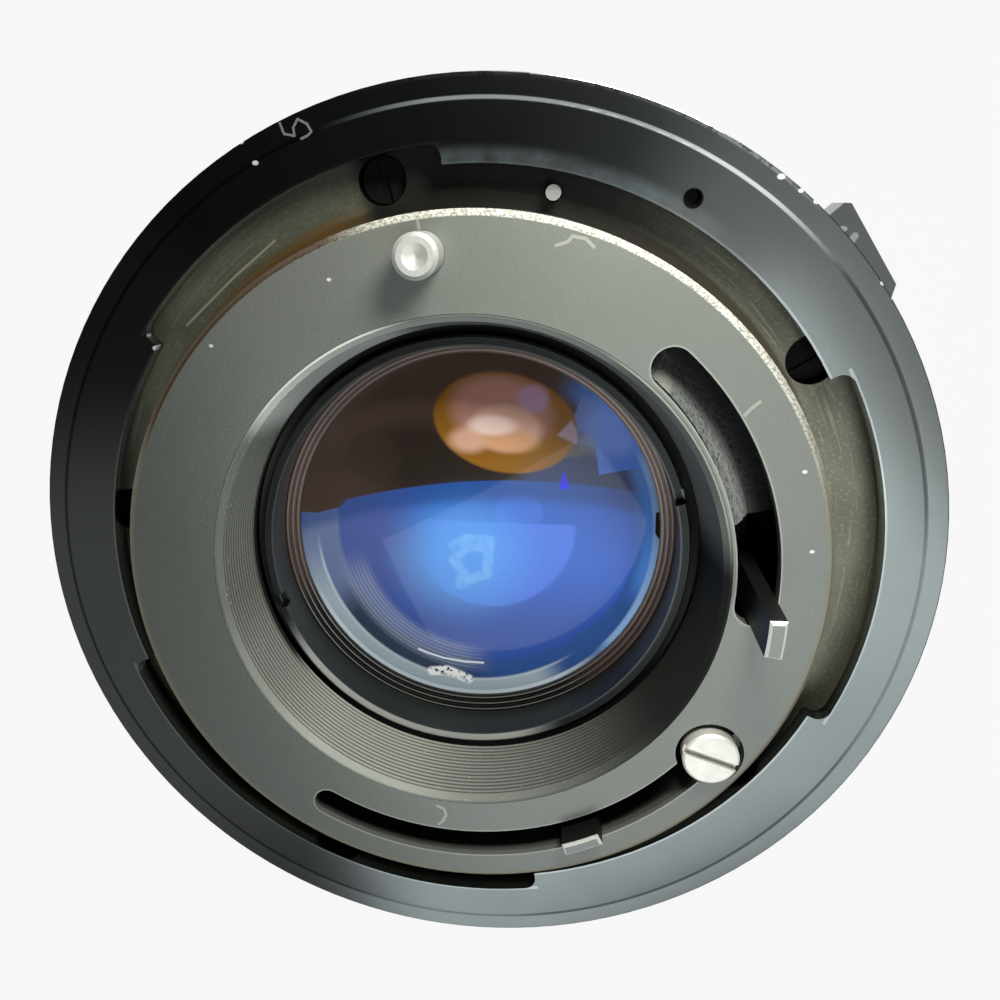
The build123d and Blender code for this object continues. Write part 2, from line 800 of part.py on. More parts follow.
def make_lever_ring_clip():
    """The spring clip over the signal lever's ring."""
    low = signal_ring_high + end_gap
    start = clip_angle + clip_opening / 2
    span = 360 - clip_opening
    return sector(signal_bore_r - clip_width, signal_bore_r, start, span, low, low + clip_thick)


def make_aperture_ring():
    """The ring that sets the f-number, with a scalloped grip and a fin."""
    low, high, bevel = aperture_low, aperture_high, aperture_bevel
    body = turned([
        (aperture_bore_r, low), (aperture_r - bevel, low), (aperture_r, low + bevel),
        (aperture_r, high - bevel), (aperture_r - bevel, high), (aperture_bore_r, high),
    ])
    circle_r = aperture_r + lobe_cut_r - lobe_depth
    body -= around(peg(lobe_cut_r, circle_r, lobe_angle, high - lobe_width, high + over), aperture_lobes)
    body += make_fin(high - fin_drop)
    clicks = aperture_clicks - 1
    step = (aperture_turn[1] - aperture_turn[0]) / clicks
    for i in range(aperture_clicks):
        dimple = Pos(aperture_bore_r + click_depth - click_ball_r, 0, click_z) * Sphere(click_ball_r)
        body -= Rot(0, 0, click_angle - aperture_turn[1] + step * i) * dimple
    hole_end_r = aperture_r - link_screw_depth
    return body - radial_peg(link_screw_r, link_angle, link_z, aperture_bore_r - over, hole_end_r)


def make_fin(high):
    """The thumb fin: steep on one side, running out into the ring on the other."""
    inner = aperture_r - fin_root
    corners = [
        (inner, fin_high_angle), (fin_r - fin_tip_drop, fin_high_angle),
        (fin_r, fin_high_angle - fin_tip_angle), (fin_r - fin_run_drop, fin_run_angle),
        (aperture_r, fin_low_angle), (inner, fin_low_angle),
    ]
    outline = Polyline([(r * cos(radians(a)), r * sin(radians(a))) for r, a in corners], close=True)
    return Pos(0, 0, high - fin_width) * extrude(make_face(outline), fin_width)


def blade_pin(turn):
    """Where a blade's drive pin lies when the blade has turned inwards."""
    t = radians(turn)
    return pivot_circle_r + blade_tail * sin(t), -blade_tail * cos(t)


def drive_slot():
    """The cam slot that turns one blade evenly as the drive ring turns."""
    points = []
    for share in (0, 0.5, 1):
        x, y = blade_pin(blade_turn * share)
        angle = atan2(y, x) - radians(stop_lever_turn * share)
        points.append((hypot(x, y) * cos(angle), hypot(x, y) * sin(angle)))
    return ThreePointArc(*points)


def make_stop_down_lever():
    """The iris drive ring with the tall lever that the camera pushes."""
    body = ring(drive_in, drive_out, drive_low, drive_high)
    slot = SlotArc(drive_slot().edge(), 2 * (blade_pin_r + run_gap))
    tool = Pos(0, 0, drive_low - over) * extrude(slot, drive_thick + 2 * over)
    body -= around(Rot(0, 0, blade_first) * tool, blade_count)
    half = half_angle(stop_lever_width, stop_lever_r[1])
    middle = (drive_low + drive_high) / 2
    top = spigot_height + stop_lever_height
    lever = sector(*stop_lever_r, stop_lever_angle - half, 2 * half, middle, top)
    return body + chamfer(lever.faces().sort_by(Axis.Z)[-1].edges(), lever_chamfer)


def make_iris_blade(index):
    """One steel blade with its pivot pin below and its drive pin above."""
    base = blade_high - blade_thick - index * blade_pitch
    span = blade_span + blade_root
    crescent = sector(blade_in, blade_out, -blade_root, span, base, base + blade_thick)
    pin_x, pin_y = blade_pin(0)
    corners = [(pivot_circle_r, 0), (pin_x, pin_y), (blade_out - blade_neck[0], -blade_neck[1])]
    lobe = make_hull([(Pos(x, y) * Circle(blade_lobe_r)).edge() for x, y in corners])
    blade = crescent + Pos(0, 0, base) * extrude(lobe.face(), blade_thick)
    pivot_length = base + blade_thick - floor_low
    blade += Pos(pivot_circle_r, 0, floor_low) * extrude(Circle(blade_pin_r), pivot_length)
    blade += Pos(pin_x, pin_y, base) * extrude(Circle(blade_pin_r), drive_high - end_gap - base)
    return Rot(0, 0, blade_first + 360 / blade_count * index) * blade


def make_iris_housing():
    """The cup that the blades pivot in."""
    body = turned([
        (iris_opening_r, floor_low), (iris_r, floor_low), (iris_r, cover_high), (cover_r, cover_high),
        (cover_r, cover_low), (iris_wall_r, cover_low), (iris_wall_r, floor_high),
        (iris_opening_r, floor_high),
    ])
    hole = peg(blade_pin_r + run_gap, pivot_circle_r, blade_first, floor_low - over, floor_high + over)
    return body - around(hole, blade_count)


def make_iris_cover():
    """The plate that closes the iris and carries the rear tube."""
    body = ring(iris_opening_r, cover_r - seat_gap, cover_low, cover_high)
    half = half_angle(stop_lever_width + 2 * pass_gap, stop_lever_r[0])
    start = stop_lever_angle - half
    span = stop_lever_turn + 2 * half
    low_r = stop_lever_r[0] - pass_gap
    return body - sector(low_r, stop_lever_r[1] + pass_gap, start, span, cover_low - over, cover_high + over)


def make_stop_down_spring():
    """The open wire ring that turns the stop-down lever back."""
    height = cover_high + spring_wire_r + touch_gap
    beside = half_angle(stop_lever_width + 2 * spring_wire_r, stop_lever_r[0]) + spring_play
    end_angle = radians(stop_lever_angle - beside)
    arc = CenterArc((0, 0, height), spring_r, stop_lever_angle - beside - spring_span, spring_span)
    hook = Line(arc @ 1, (stop_lever_r[1] * cos(end_angle), stop_lever_r[1] * sin(end_angle), height))
    start = Plane(origin=arc @ 0, z_dir=arc % 0)
    coil = sweep(start * RegularPolygon(spring_wire_r, 8), arc)
    corner = Plane(origin=hook @ 0, z_dir=hook % 0)
    return coil + sweep(corner * RegularPolygon(spring_wire_r, 8), hook)


def make_relay_tube():
    """The tube between the iris and the rear cell."""
    cell_bore = cell_r + seat_gap
    glass_bore = rear_glass_r + seat_gap
    top = cell_high - cell_rise
    return turned([
        (relay_tube_lip_r, cover_high), (relay_tube_r, cover_high), (relay_tube_r, top), (cell_bore, top),
        (cell_bore, cell_low), (glass_bore, cell_low), (glass_bore, inner_seat),
        (relay_tube_lip_r, inner_seat),
    ])


def make_rear_cell():
    """The cell of the rear glass, with two notches for a spanner."""
    seat = rear_glass_high - rear_glass_edge
    seat_r = rear_glass_r - cell_seat
    glass_bore = rear_glass_r + seat_gap
    step = cell_r - cell_lip
    body = turned([
        (seat_r, cell_low), (cell_r, cell_low), (cell_r, cell_high - cell_chamfer),
        (cell_r - cell_chamfer, cell_high), (step, cell_high), (step, rear_glass_high),
        (glass_bore, rear_glass_high), (glass_bore, seat), (seat_r, seat),
    ])
    for angle in notch_angles:
        notch = Pos(cell_r, 0, cell_high) * Box(4 * cell_lip, notch_width, 2 * notch_depth)
        body -= Rot(0, 0, angle) * notch
    return body


def make_rear_retaining_ring():
    """The stepped ring that holds the rear glass down."""
    low = rear_glass_high + touch_gap
    rise = rise_of_glass(rear_glass_r, rear_glass_bulge, rear_ring_hole_r)
    outer = cell_r - cell_lip - seat_gap
    step = (outer - rear_ring_hole_r) / rear_ring_steps
    points = [(rear_ring_hole_r, low + rise), (rear_glass_r, low), (outer, low)]
    for i in range(rear_ring_steps):
        height = low + rear_ring_thick * (1 - i / rear_ring_steps) + rise
        points.append((outer - step * i, height))
        points.append((outer - step * (i + 1), height))
    return turned(points)


def make_rear_glass():
    """The rear element, bulging towards the camera."""
    low = rear_glass_high - rear_glass_edge
    return glass(rear_glass_r, low, rear_glass_high, -rear_glass_hollow, rear_glass_bulge)


def make_rear_inner_glass():
    """The second element of the rear tube."""
    return glass(rear_glass_r, inner_seat, inner_seat + inner_glass_edge, 0, inner_glass_bulge)


def make_relay_front_cell():
    """The cell in front of the iris, held against its floor."""
    outer = iris_ledge_r - seat_gap
    low = floor_low - front_cell_length
    glass_bore = relay_glass_r + seat_gap
    seat = floor_low - relay_glass_depth
    step = seat - relay_glass_edge - relay_cell_step
    return turned([
        (iris_opening_r, floor_low), (outer, floor_low), (outer, low), (glass_bore + relay_cell_step, low),
        (glass_bore + relay_cell_step, step), (glass_bore, step), (glass_bore, seat), (iris_opening_r, seat),
    ])


def make_relay_front_glass():
    """The thick element in front of the iris."""
    high = floor_low - relay_glass_depth
    return glass(relay_glass_r, high - relay_glass_edge, high, relay_glass_bulge, 0)


def make_spacer_washer():
    """The washer between the breech ring and the aperture ring."""
    return ring(neck_r + seat_gap, washer_r, washer_low, washer_high)


def make_index_ring():
    """The fixed ring with the line that the settings are read against."""
    bore = drum_r + seat_gap
    return turned([
        (bore, index_low), (index_front_r, index_low), (index_r, index_low + index_taper),
        (index_r, index_high), (bore, index_high),
    ])


def make_main_barrel():
    """The fixed tube that the zoom sleeve slides on."""
    body = ring(barrel_bore_r, barrel_r, barrel_low, index_low)
    slot = roller_slot(0, drive_screw_z, zoom_travel, barrel_bore_r, barrel_r)
    half = helicoid_screw_r + end_gap
    groove = ring(barrel_r - helicoid_groove_depth, barrel_r + over, groove_z - half, groove_z + half)
    return body - around(slot, slot_count) - groove


def make_guide_tube():
    """The inner tube whose straight slots keep the moving groups from turning."""
    body = turned([
        (guide_bore_r, cam_ring_low), (guide_r, cam_ring_low), (guide_r, guide_low_of_flange),
        (barrel_bore_r - seat_gap, guide_low_of_flange), (barrel_bore_r - seat_gap, tail_low),
        (guide_bore_r, tail_low),
    ])
    for start_z, travel in ((variator_z, variator_travel), (compensator_z, compensator_travel)):
        slot = roller_slot(roller_angle, start_z, travel, guide_bore_r, guide_r)
        body -= around(slot, slot_count)
    return body


def make_cam_barrel():
    """The tube whose helical slots turn one slide into two."""
    body = ring(guide_r + run_gap, cam_r, cam_low, cam_high)
    paths = [
        (0, drive_screw_z, zoom_travel), (roller_angle, variator_z, variator_travel),
        (roller_angle, compensator_z, compensator_travel),
    ]
    for angle, start_z, rise in paths:
        for i in range(slot_count):
            for tool in cam_slot(angle + 360 / slot_count * i, start_z, rise):
                body -= tool
    return body


def make_cam_retaining_ring():
    """The ring that keeps the cam barrel on the guide tube."""
    return ring(guide_r + seat_gap, cam_r, cam_ring_low, cam_ring_high)


def make_zoom_sleeve():
    """The sleeve that slides along the main barrel and carries the grip."""
    body = turned([
        (barrel_r + run_gap, sleeve_low), (sleeve_r, sleeve_low), (sleeve_r, sleeve_shoulder),
        (sleeve_neck_r, sleeve_shoulder), (sleeve_neck_r, sleeve_high), (barrel_r + run_gap, sleeve_high),
    ])
    hole = radial_peg(drive_screw_head_r, 0, drive_screw_z, barrel_r, sleeve_r + over)
    return body - around(hole, slot_count)


def make_sleeve_end_ring():
    """The ring that closes the back of the grip."""
    bore = sleeve_neck_r + seat_gap
    return turned([
        (bore, sleeve_ring_low), (sleeve_ring_r, sleeve_ring_low),
        (sleeve_ring_r, sleeve_high - sleeve_chamfer), (sleeve_ring_r - sleeve_chamfer, sleeve_high),
        (bore, sleeve_high),
    ])


def make_zoom_drive_screws():
    """The screws that reach from the sleeve into the cam barrel."""
    head_low_r = barrel_r + run_gap
    head = radial_peg(drive_screw_head_r - seat_gap, 0, drive_screw_z, head_low_r, sleeve_r)
    roller = radial_peg(roller_r, 0, drive_screw_z, guide_r + run_gap + end_gap, head_low_r + end_gap)
    return Compound(children=around(head + roller, slot_count))


def make_grip_ring():
    """The grip's metal ring: it turns on the sleeve and drives the focus key."""
    lip_r = sleeve_neck_r + run_gap
    body = turned([
        (grip_bore_r, sleeve_low), (grip_r, sleeve_low), (grip_r, lip_high), (lip_r, lip_high),
        (lip_r, lip_low), (grip_bore_r, lip_low),
    ])
    half = half_angle(key_width + 2 * end_gap, key_in)
    low = sleeve_low - over
    high = helicoid_high + key_length + over
    return body - sector(grip_bore_r - over, key_out + end_gap, -half, 2 * half, low, high)


def make_rubber_grip():
    """The ribbed rubber sleeve on the grip ring."""
    low = sleeve_low + rubber_front_margin
    high = lip_high - rubber_rear_margin
    bevel = rubber_bevel
    body = turned([
        (grip_r, low), (rubber_r - bevel, low), (rubber_r, low + bevel), (rubber_r, high - bevel),
        (rubber_r - bevel, high), (grip_r, high),
    ])
    groove_length = high - low - 2 * rib_margin
    groove = Pos(rubber_r, 0, (low + high) / 2) * Box(2 * rib_depth, rib_groove, groove_length)
    return body - around(groove, rubber_ribs)


def make_helicoid_ring():
    """The ring that turns with the grip and screws the front barrel out."""
    bearing_r = barrel_r + run_gap
    bevel = helicoid_chamfer
    body = turned([
        (thread_r, helicoid_low), (helicoid_r - bevel, helicoid_low), (helicoid_r, helicoid_low + bevel),
        (helicoid_r, helicoid_high), (bearing_r, helicoid_high), (bearing_r, thread_high),
        (thread_r, thread_high),
    ])
    half = half_angle(key_width + 2 * seat_gap, key_in)
    seat = helicoid_high - key_root
    body -= sector(key_in - seat_gap, key_out + seat_gap, -half, 2 * half, seat, helicoid_high + over)
    hole_r = helicoid_screw_r + seat_gap
    hole = radial_peg(hole_r, helicoid_screw_angle, groove_z, barrel_r, helicoid_r + over)
    return body - around(hole, slot_count)


def make_helicoid_screws():
    """Screws whose tips run in the main barrel's groove."""
    tip_r = barrel_r - helicoid_groove_depth + end_gap
    head_r = helicoid_r - helicoid_screw_sink
    screw = radial_peg(helicoid_screw_r, helicoid_screw_angle, groove_z, tip_r, head_r)
    return Compound(children=around(screw, slot_count))


def make_focus_key():
    """The bar that the grip turns while it slides along it."""
    half = half_angle(key_width, key_in)
    return sector(key_in, key_out, -half, 2 * half, helicoid_high - key_root, helicoid_high + key_length)


def make_front_barrel():
    """The barrel that carries the front group and slides out to focus near."""
    glass_bore = front_glass_r + seat_gap
    ring_bore = front_ring_r + seat_gap
    seat_high = front_ledge + front_seat
    bevel = front_chamfer
    body = turned([
        (filter_r, front_rim), (front_r - bevel, front_rim), (front_r, front_rim + bevel),
        (front_r, front_high - bevel), (front_r - bevel, front_high), (skirt_out_r, front_high),
        (skirt_out_r, skirt_high), (skirt_r, skirt_high), (skirt_r, seat_high), (front_seat_r, seat_high),
        (front_seat_r, front_ledge), (glass_bore, front_ledge), (glass_bore, front_glass_low),
        (ring_bore, front_glass_low), (ring_bore, front_ring_low), (filter_r, front_ring_low),
    ])
    half = half_angle(guide_key_width + 2 * run_gap, barrel_bore_r)
    bottom_r = barrel_bore_r - guide_key_height - run_gap
    low = guide_key_low - over
    keyway = sector(bottom_r, skirt_out_r + over, -half, 2 * half, low, skirt_high + over)
    return body - around(keyway, slot_count)


def make_front_guide_keys():
    """The keys in the main barrel that keep the front barrel from turning."""
    half = half_angle(guide_key_width, barrel_bore_r)
    high = guide_key_low + guide_key_length
    key = sector(barrel_bore_r - guide_key_height, barrel_bore_r, -half, 2 * half, guide_key_low, high)
    return Compound(children=around(key, slot_count))


def make_front_glass():
    """The front element, cemented to the one behind it."""
    return glass(front_glass_r, front_glass_low, cement_z, front_glass_bulge, -cement_sag)


def make_front_inner_glass():
    """The second front element, against the ledge."""
    return glass(front_glass_r, cement_z + touch_gap, front_ledge, cement_sag, -inner_front_hollow)


def make_front_retaining_ring():
    """The bare trim ring that holds the front glass."""
    high = front_glass_low - touch_gap
    hole_r = front_glass_r - front_ring_lip
    rise = rise_of_glass(front_glass_r, front_glass_bulge, hole_r)
    return turned([
        (hole_r, high - rise), (front_glass_r, high), (front_ring_r, high),
        (front_ring_r, front_ring_low), (front_glass_r, front_ring_low),
    ])


def make_carrier(which, height):
    """The cell of a moving group; its rollers' holes lie at one height."""
    glass_r = carrier_glass_r[which]
    bore = glass_r + seat_gap
    low = height - carrier_length[which] / 2
    high = height + carrier_length[which] / 2
    seat = high - carrier_lip
    cup_low = seat - carrier_glass_edge[which] - carrier_lip
    inner_r = carrier_r - carrier_wall
    body = turned([
        (glass_r - carrier_seat, high), (carrier_r, high), (carrier_r, low), (inner_r, low),
        (inner_r, high - carrier_web), (bore + carrier_cup, high - carrier_web),
        (bore + carrier_cup, cup_low), (bore, cup_low), (bore, seat), (glass_r - carrier_seat, seat),
    ])
    hole = radial_peg(roller_core_r + seat_gap, roller_angle, height, inner_r - over, carrier_r + over)
    return body - around(hole, slot_count)


def make_carrier_glass(which, height):
    """The glass of a moving group."""
    high = height + carrier_length[which] / 2 - carrier_lip
    bulge = carrier_bulge[which]
    return glass(carrier_glass_r[which], high - carrier_glass_edge[which], high, bulge, min(bulge, 0))


def make_rollers(height):
    """Three stepped rollers, screwed into a carrier."""
    core = radial_peg(roller_core_r, roller_angle, height, carrier_r - carrier_wall, guide_r)
    roller = radial_peg(roller_r, roller_angle, height, guide_bore_r, cam_r)
    return Compound(children=around(core + roller, slot_count))


pieces = {
    "mount_plate": make_mount_plate(),
    "light_trap": make_light_trap(),
    "mount_flange": make_mount_flange(),
    "flange_screws": make_flange_screws(),
    "full_aperture_pin": make_full_aperture_pin(),
    "ae_switch_pin": make_ae_switch_pin(),
    "ae_pin_spring": make_ae_pin_spring(),
    "lock_pin": make_lock_pin(),
    "breech_ring": make_breech_ring(),
    "breech_stop_screw": make_breech_stop_screw(),
    "rear_housing": make_rear_housing(),
    "click_ball": make_click_ball(),
    "click_spring": make_click_spring(),
    "lever_guide_plate": make_lever_guide_plate(),
    "signal_lever": make_signal_lever(),
    "aperture_link_screw": make_aperture_link_screw(),
    "lever_ring_clip": make_lever_ring_clip(),
    "aperture_ring": make_aperture_ring(),
    "stop_down_lever": make_stop_down_lever(),
    "stop_down_spring": make_stop_down_spring(),
    "iris_housing": make_iris_housing(),
    "iris_cover": make_iris_cover(),
    "relay_tube": make_relay_tube(),
    "rear_cell": make_rear_cell(),
    "rear_retaining_ring": make_rear_retaining_ring(),
    "rear_glass": make_rear_glass(),
    "rear_inner_glass": make_rear_inner_glass(),
    "relay_front_cell": make_relay_front_cell(),
    "relay_front_glass": make_relay_front_glass(),
    "spacer_washer": make_spacer_washer(),
    "index_ring": make_index_ring(),
    "main_barrel": make_main_barrel(),
    "guide_tube": make_guide_tube(),
    "cam_barrel": make_cam_barrel(),
    "cam_retaining_ring": make_cam_retaining_ring(),
    "zoom_sleeve": make_zoom_sleeve(),
    "sleeve_end_ring": make_sleeve_end_ring(),
    "zoom_drive_screws": make_zoom_drive_screws(),
    "grip_ring": make_grip_ring(),
    "rubber_grip": make_rubber_grip(),
    "helicoid_ring": make_helicoid_ring(),
    "helicoid_screws": make_helicoid_screws(),
    "focus_key": make_focus_key(),
    "front_barrel": make_front_barrel(),
    "front_guide_keys": make_front_guide_keys(),
    "front_glass": make_front_glass(),
    "front_inner_glass": make_front_inner_glass(),
    "front_retaining_ring": make_front_retaining_ring(),
    "variator_cell": make_carrier(0, variator_z),
    "variator_glass": make_carrier_glass(0, variator_z),
    "variator_rollers": make_rollers(variator_z),
    "compensator_cell": make_carrier(1, compensator_z),
    "compensator_glass": make_carrier_glass(1, compensator_z),
    "compensator_rollers": make_rollers(compensator_z),
}
for index in range(blade_count):
    pieces[f"iris_blade_{index + 1}"] = make_iris_blade(index)

os.makedirs("parts", exist_ok=True)
for node, shape in pieces.items():
    export_step(shape, f"parts/{node}.step")
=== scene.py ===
# %% [markdown]
# # A telephoto zoom lens, standing on its front rim
#
# The photograph looks down on the rear mount of a slim zoom lens for a film camera. Nearly all that it
# shows is turned metal: a grey rear disc, a black anodised breech ring round it, an olive brass flange
# between them, and a deep ridged well with the coated rear glass at its bottom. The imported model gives
# those shapes exactly, so this script keeps them, gives each its finish, and adds what a CAD file
# leaves out: the flock behind the lever, the waffle rubber of the grip, and the painted numbers.

# %% Load the frame
import math

import bpy
from mathutils import Matrix, Vector


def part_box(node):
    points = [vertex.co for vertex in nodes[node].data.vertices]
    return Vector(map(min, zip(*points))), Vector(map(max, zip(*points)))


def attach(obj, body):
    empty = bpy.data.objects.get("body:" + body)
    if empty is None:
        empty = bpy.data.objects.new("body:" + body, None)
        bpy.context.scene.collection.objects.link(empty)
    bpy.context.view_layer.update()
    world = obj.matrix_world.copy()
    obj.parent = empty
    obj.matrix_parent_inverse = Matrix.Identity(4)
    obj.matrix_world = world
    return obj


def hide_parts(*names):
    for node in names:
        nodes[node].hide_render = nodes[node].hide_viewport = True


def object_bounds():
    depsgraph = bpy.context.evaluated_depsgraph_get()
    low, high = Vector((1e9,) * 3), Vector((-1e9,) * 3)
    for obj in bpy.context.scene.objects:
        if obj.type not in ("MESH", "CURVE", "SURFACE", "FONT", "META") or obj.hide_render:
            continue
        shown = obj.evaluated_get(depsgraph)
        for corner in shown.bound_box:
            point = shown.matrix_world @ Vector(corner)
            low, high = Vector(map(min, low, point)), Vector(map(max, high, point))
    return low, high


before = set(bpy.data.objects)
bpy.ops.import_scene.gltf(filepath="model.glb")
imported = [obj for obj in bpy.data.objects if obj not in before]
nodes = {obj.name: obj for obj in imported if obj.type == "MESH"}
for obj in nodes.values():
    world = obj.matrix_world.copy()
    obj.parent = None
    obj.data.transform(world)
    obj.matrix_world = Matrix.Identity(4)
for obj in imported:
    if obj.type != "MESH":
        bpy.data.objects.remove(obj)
cad_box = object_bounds()
MM = 0.001
print(len(nodes), "CAD nodes")

# %% [markdown]
# ## Colours, nodes and places
#
# A colour is an sRGB hex value, and the shader wants it linear. Every pattern below is laid
# out in real millimetres and degrees round the optical axis, because that is how a turned part is
# drawn. So one function turns colours to linear, one adds a node with its links, and one measures
# where a point lies on the lens. The radii and heights that the patterns follow come from the frame.


# %% Colours and nodes
def linear(code):
    """An sRGB hex colour as linear RGBA."""
    parts = [int(code[i:i + 2], 16) / 255 for i in (1, 3, 5)]
    return (*[p / 12.92 if p <= 0.04045 else ((p + 0.055) / 1.055) ** 2.4 for p in parts], 1.0)


def add(tree, kind, inputs=None, out=0, **settings):
    """Add a node, set it up, link or fill its inputs, and give back one of its outputs."""
    node = tree.nodes.new("ShaderNode" + kind)
    for name, value in settings.items():
        setattr(node, name, value)
    for key, value in (inputs or {}).items():
        if isinstance(value, bpy.types.NodeSocket):
            tree.links.new(value, node.inputs[key])
        else:
            node.inputs[key].default_value = linear(value) if isinstance(value, str) else value
    return node.outputs[out] if node.outputs else node


# %% Sizes from the frame
def reach(name):
    """The radius, the bottom and the top of a CAD node, in millimetres."""
    low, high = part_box(name)
    return high[0] / MM, low[2] / MM, high[2] / MM


disc_r, _, disc_top = reach("mount_plate")
_, well_bottom, well_top = reach("light_trap")
breech_r, _, breech_top = reach("breech_ring")
cell_r = reach("rear_cell")[0]
glass_r = reach("rear_glass")[0]
print("disc", round(disc_r, 2), "breech ring", round(breech_r, 2), "rear glass", round(glass_r, 2))


# %% Where a point lies on the lens
def place(tree):
    """Its millimetres from the origin, its radius and height, and its angle in degrees."""
    mm = add(tree, "VectorMath", {0: add(tree, "TexCoord", out="Object"), "Scale": 1000.0}, operation="SCALE")
    flat = add(tree, "VectorMath", {0: mm, 1: (1, 1, 0)}, operation="MULTIPLY")
    x = add(tree, "SeparateXYZ", {0: mm}, out="X")
    y = add(tree, "SeparateXYZ", {0: mm}, out="Y")
    turn = add(tree, "Math", {0: y, 1: x}, operation="ARCTAN2")
    return {
        "mm": mm, "flat": flat, "x": x, "y": y, "z": add(tree, "SeparateXYZ", {0: mm}, out="Z"),
        "r": add(tree, "VectorMath", {0: flat}, out="Value", operation="LENGTH"),
        "angle": add(tree, "Math", {0: turn, 1: 180 / math.pi}, operation="MULTIPLY"),
    }


# %% Masks and layers of paint
def product(tree, *masks):
    """Where all of the masks are."""
    result = masks[0]
    for mask in masks[1:]:
        result = add(tree, "Math", {0: result, 1: mask}, operation="MULTIPLY")
    return result


def band(tree, value, low, high, soft):
    """1 where a value lies between two limits, fading out beside them; None leaves a side open."""
    sides = []
    if low is not None:
        sides.append({"Value": value, "From Min": low - soft, "From Max": low})
    if high is not None:
        sides.append({"Value": value, "From Min": high, "From Max": high + soft, "To Min": 1, "To Max": 0})
    return product(tree, *[add(tree, "MapRange", side, interpolation_type="SMOOTHSTEP") for side in sides])


def ring_part(tree, at, radii, angles):
    """A mask for a stretch of a ring; radii and angles are each from, to and how softly."""
    return product(tree, band(tree, at["r"], *radii), band(tree, at["angle"], *angles))


def without(tree, mask):
    """Where a mask isn't."""
    return add(tree, "Math", {0: 1.0, 1: mask}, operation="SUBTRACT")


def layered(tree, base, layers):
    """A colour with others laid over it, each as (mask, colour, strength)."""
    for mask, colour, strength in layers:
        share = product(tree, mask, strength)
        base = add(tree, "Mix", {0: share, 6: base, 7: colour}, out=2, data_type="RGBA")
    return base


def ellipse(tree, at, x, y, half_x, half_y, soft, tilt=0):
    """A mask for an ellipse; soft is the share of its size over which it fades."""
    moved = add(tree, "VectorMath", {0: at["flat"], 1: (x, y, 0)}, operation="SUBTRACT")
    if tilt:
        back = {"Vector": moved, "Angle": math.radians(-tilt)}
        moved = add(tree, "VectorRotate", back, rotation_type="Z_AXIS")
    scaled = add(tree, "VectorMath", {0: moved, 1: (1 / half_x, 1 / half_y, 0)}, operation="MULTIPLY")
    distance = add(tree, "VectorMath", {0: scaled}, out="Value", operation="LENGTH")
    return band(tree, distance, None, 1 - soft / 2, soft)


def polygon(tree, at, corners, soft):
    """A mask for a convex polygon with its corners anticlockwise."""
    masks = []
    for (x0, y0), (x1, y1) in zip(corners, corners[1:] + corners[:1]):
        length = math.hypot(x1 - x0, y1 - y0)
        inward = ((y0 - y1) / length, (x1 - x0) / length, 0)
        depth = add(tree, "VectorMath", {0: at["flat"], 1: inward}, out="Value", operation="DOT_PRODUCT")
        edge = inward[0] * x0 + inward[1] * y0
        masks.append(band(tree, depth, edge + soft, None, soft))
    return product(tree, *masks)


def stroke(tree, at, points, width):
    """A mask for a scratched line through some points."""
    nearest = 1000.0
    for start, end in zip(points, points[1:]):
        run = (end[0] - start[0], end[1] - start[1], 0)
        square = run[0] ** 2 + run[1] ** 2
        moved = add(tree, "VectorMath", {0: at["flat"], 1: (*start, 0)}, operation="SUBTRACT")
        along = add(tree, "VectorMath", {0: moved, 1: run}, out="Value", operation="DOT_PRODUCT")
        share = add(tree, "Math", {0: along, 1: square}, operation="DIVIDE", use_clamp=True)
        foot = add(tree, "VectorMath", {0: run, "Scale": share}, operation="SCALE")
        distance = add(tree, "VectorMath", {0: moved, 1: foot}, out="Value", operation="DISTANCE")
        nearest = add(tree, "Math", {0: distance, 1: nearest}, operation="MINIMUM")
    return band(tree, nearest, None, width * 0.35, width * 0.3)


def ripple(tree, value, pitch):
    """A sine wave over a value, between -1 and 1."""
    scaled = add(tree, "Math", {0: value, 1: 2 * math.pi / pitch}, operation="MULTIPLY")
    return add(tree, "Math", {0: scaled}, operation="SINE")


def between(tree, mask, low, high):
    """A value that goes from one to another with a mask."""
    return add(tree, "MapRange", {"Value": mask, "To Min": low, "To Max": high})


# %% Grain and the marks of the lathe
def grain(tree, at, size, detail=3.0):
    """Noise between 0 and 1 with grains of a size in millimetres."""
    return add(tree, "TexNoise", {"Vector": at["mm"], "Scale": 1 / size, "Detail": detail})


def lathe_marks(tree, at, pitch):
    """Fine rings that change slowly round the axis, as a turning tool leaves them."""
    turn = add(tree, "Math", {0: at["angle"], 1: 0.012}, operation="MULTIPLY")
    vector = add(tree, "CombineXYZ", {0: at["r"], 1: at["z"], 2: turn})
    return add(tree, "TexNoise", {"Vector": vector, "Scale": 1 / pitch, "Detail": 2.0})


def relief(tree, height, depth, normal=None):
    """A bump from a pattern; depth is in millimetres."""
    inputs = {"Height": height, "Strength": 1.0, "Distance": depth * MM}
    if normal:
        inputs["Normal"] = normal
    return add(tree, "Bump", inputs)


def finish(name, build):
    """A material; build(tree, at) gives back what its shader is fed."""
    material = bpy.data.materials.new(name)
    material.use_nodes = True
    tree = material.node_tree
    tree.nodes.clear()
    shader = add(tree, "BsdfPrincipled", build(tree, place(tree)))
    add(tree, "OutputMaterial", {"Surface": shader})
    return material


def dress(material, *names):
    """Give a finish to CAD nodes."""
    for name in names:
        for slot in nodes[name].material_slots:
            slot.material = material
    print(material.name, "on", ", ".join(names))


# %% [markdown]
# ## The camera
#
# The photograph was taken from 70 mm above the mount, a little to the right and well forward of the
# axis, so the near side of each ring looks larger. Nine points on the disc and on the breech ring
# gave the place and the aim below; the shift stands for the crop of the picture.

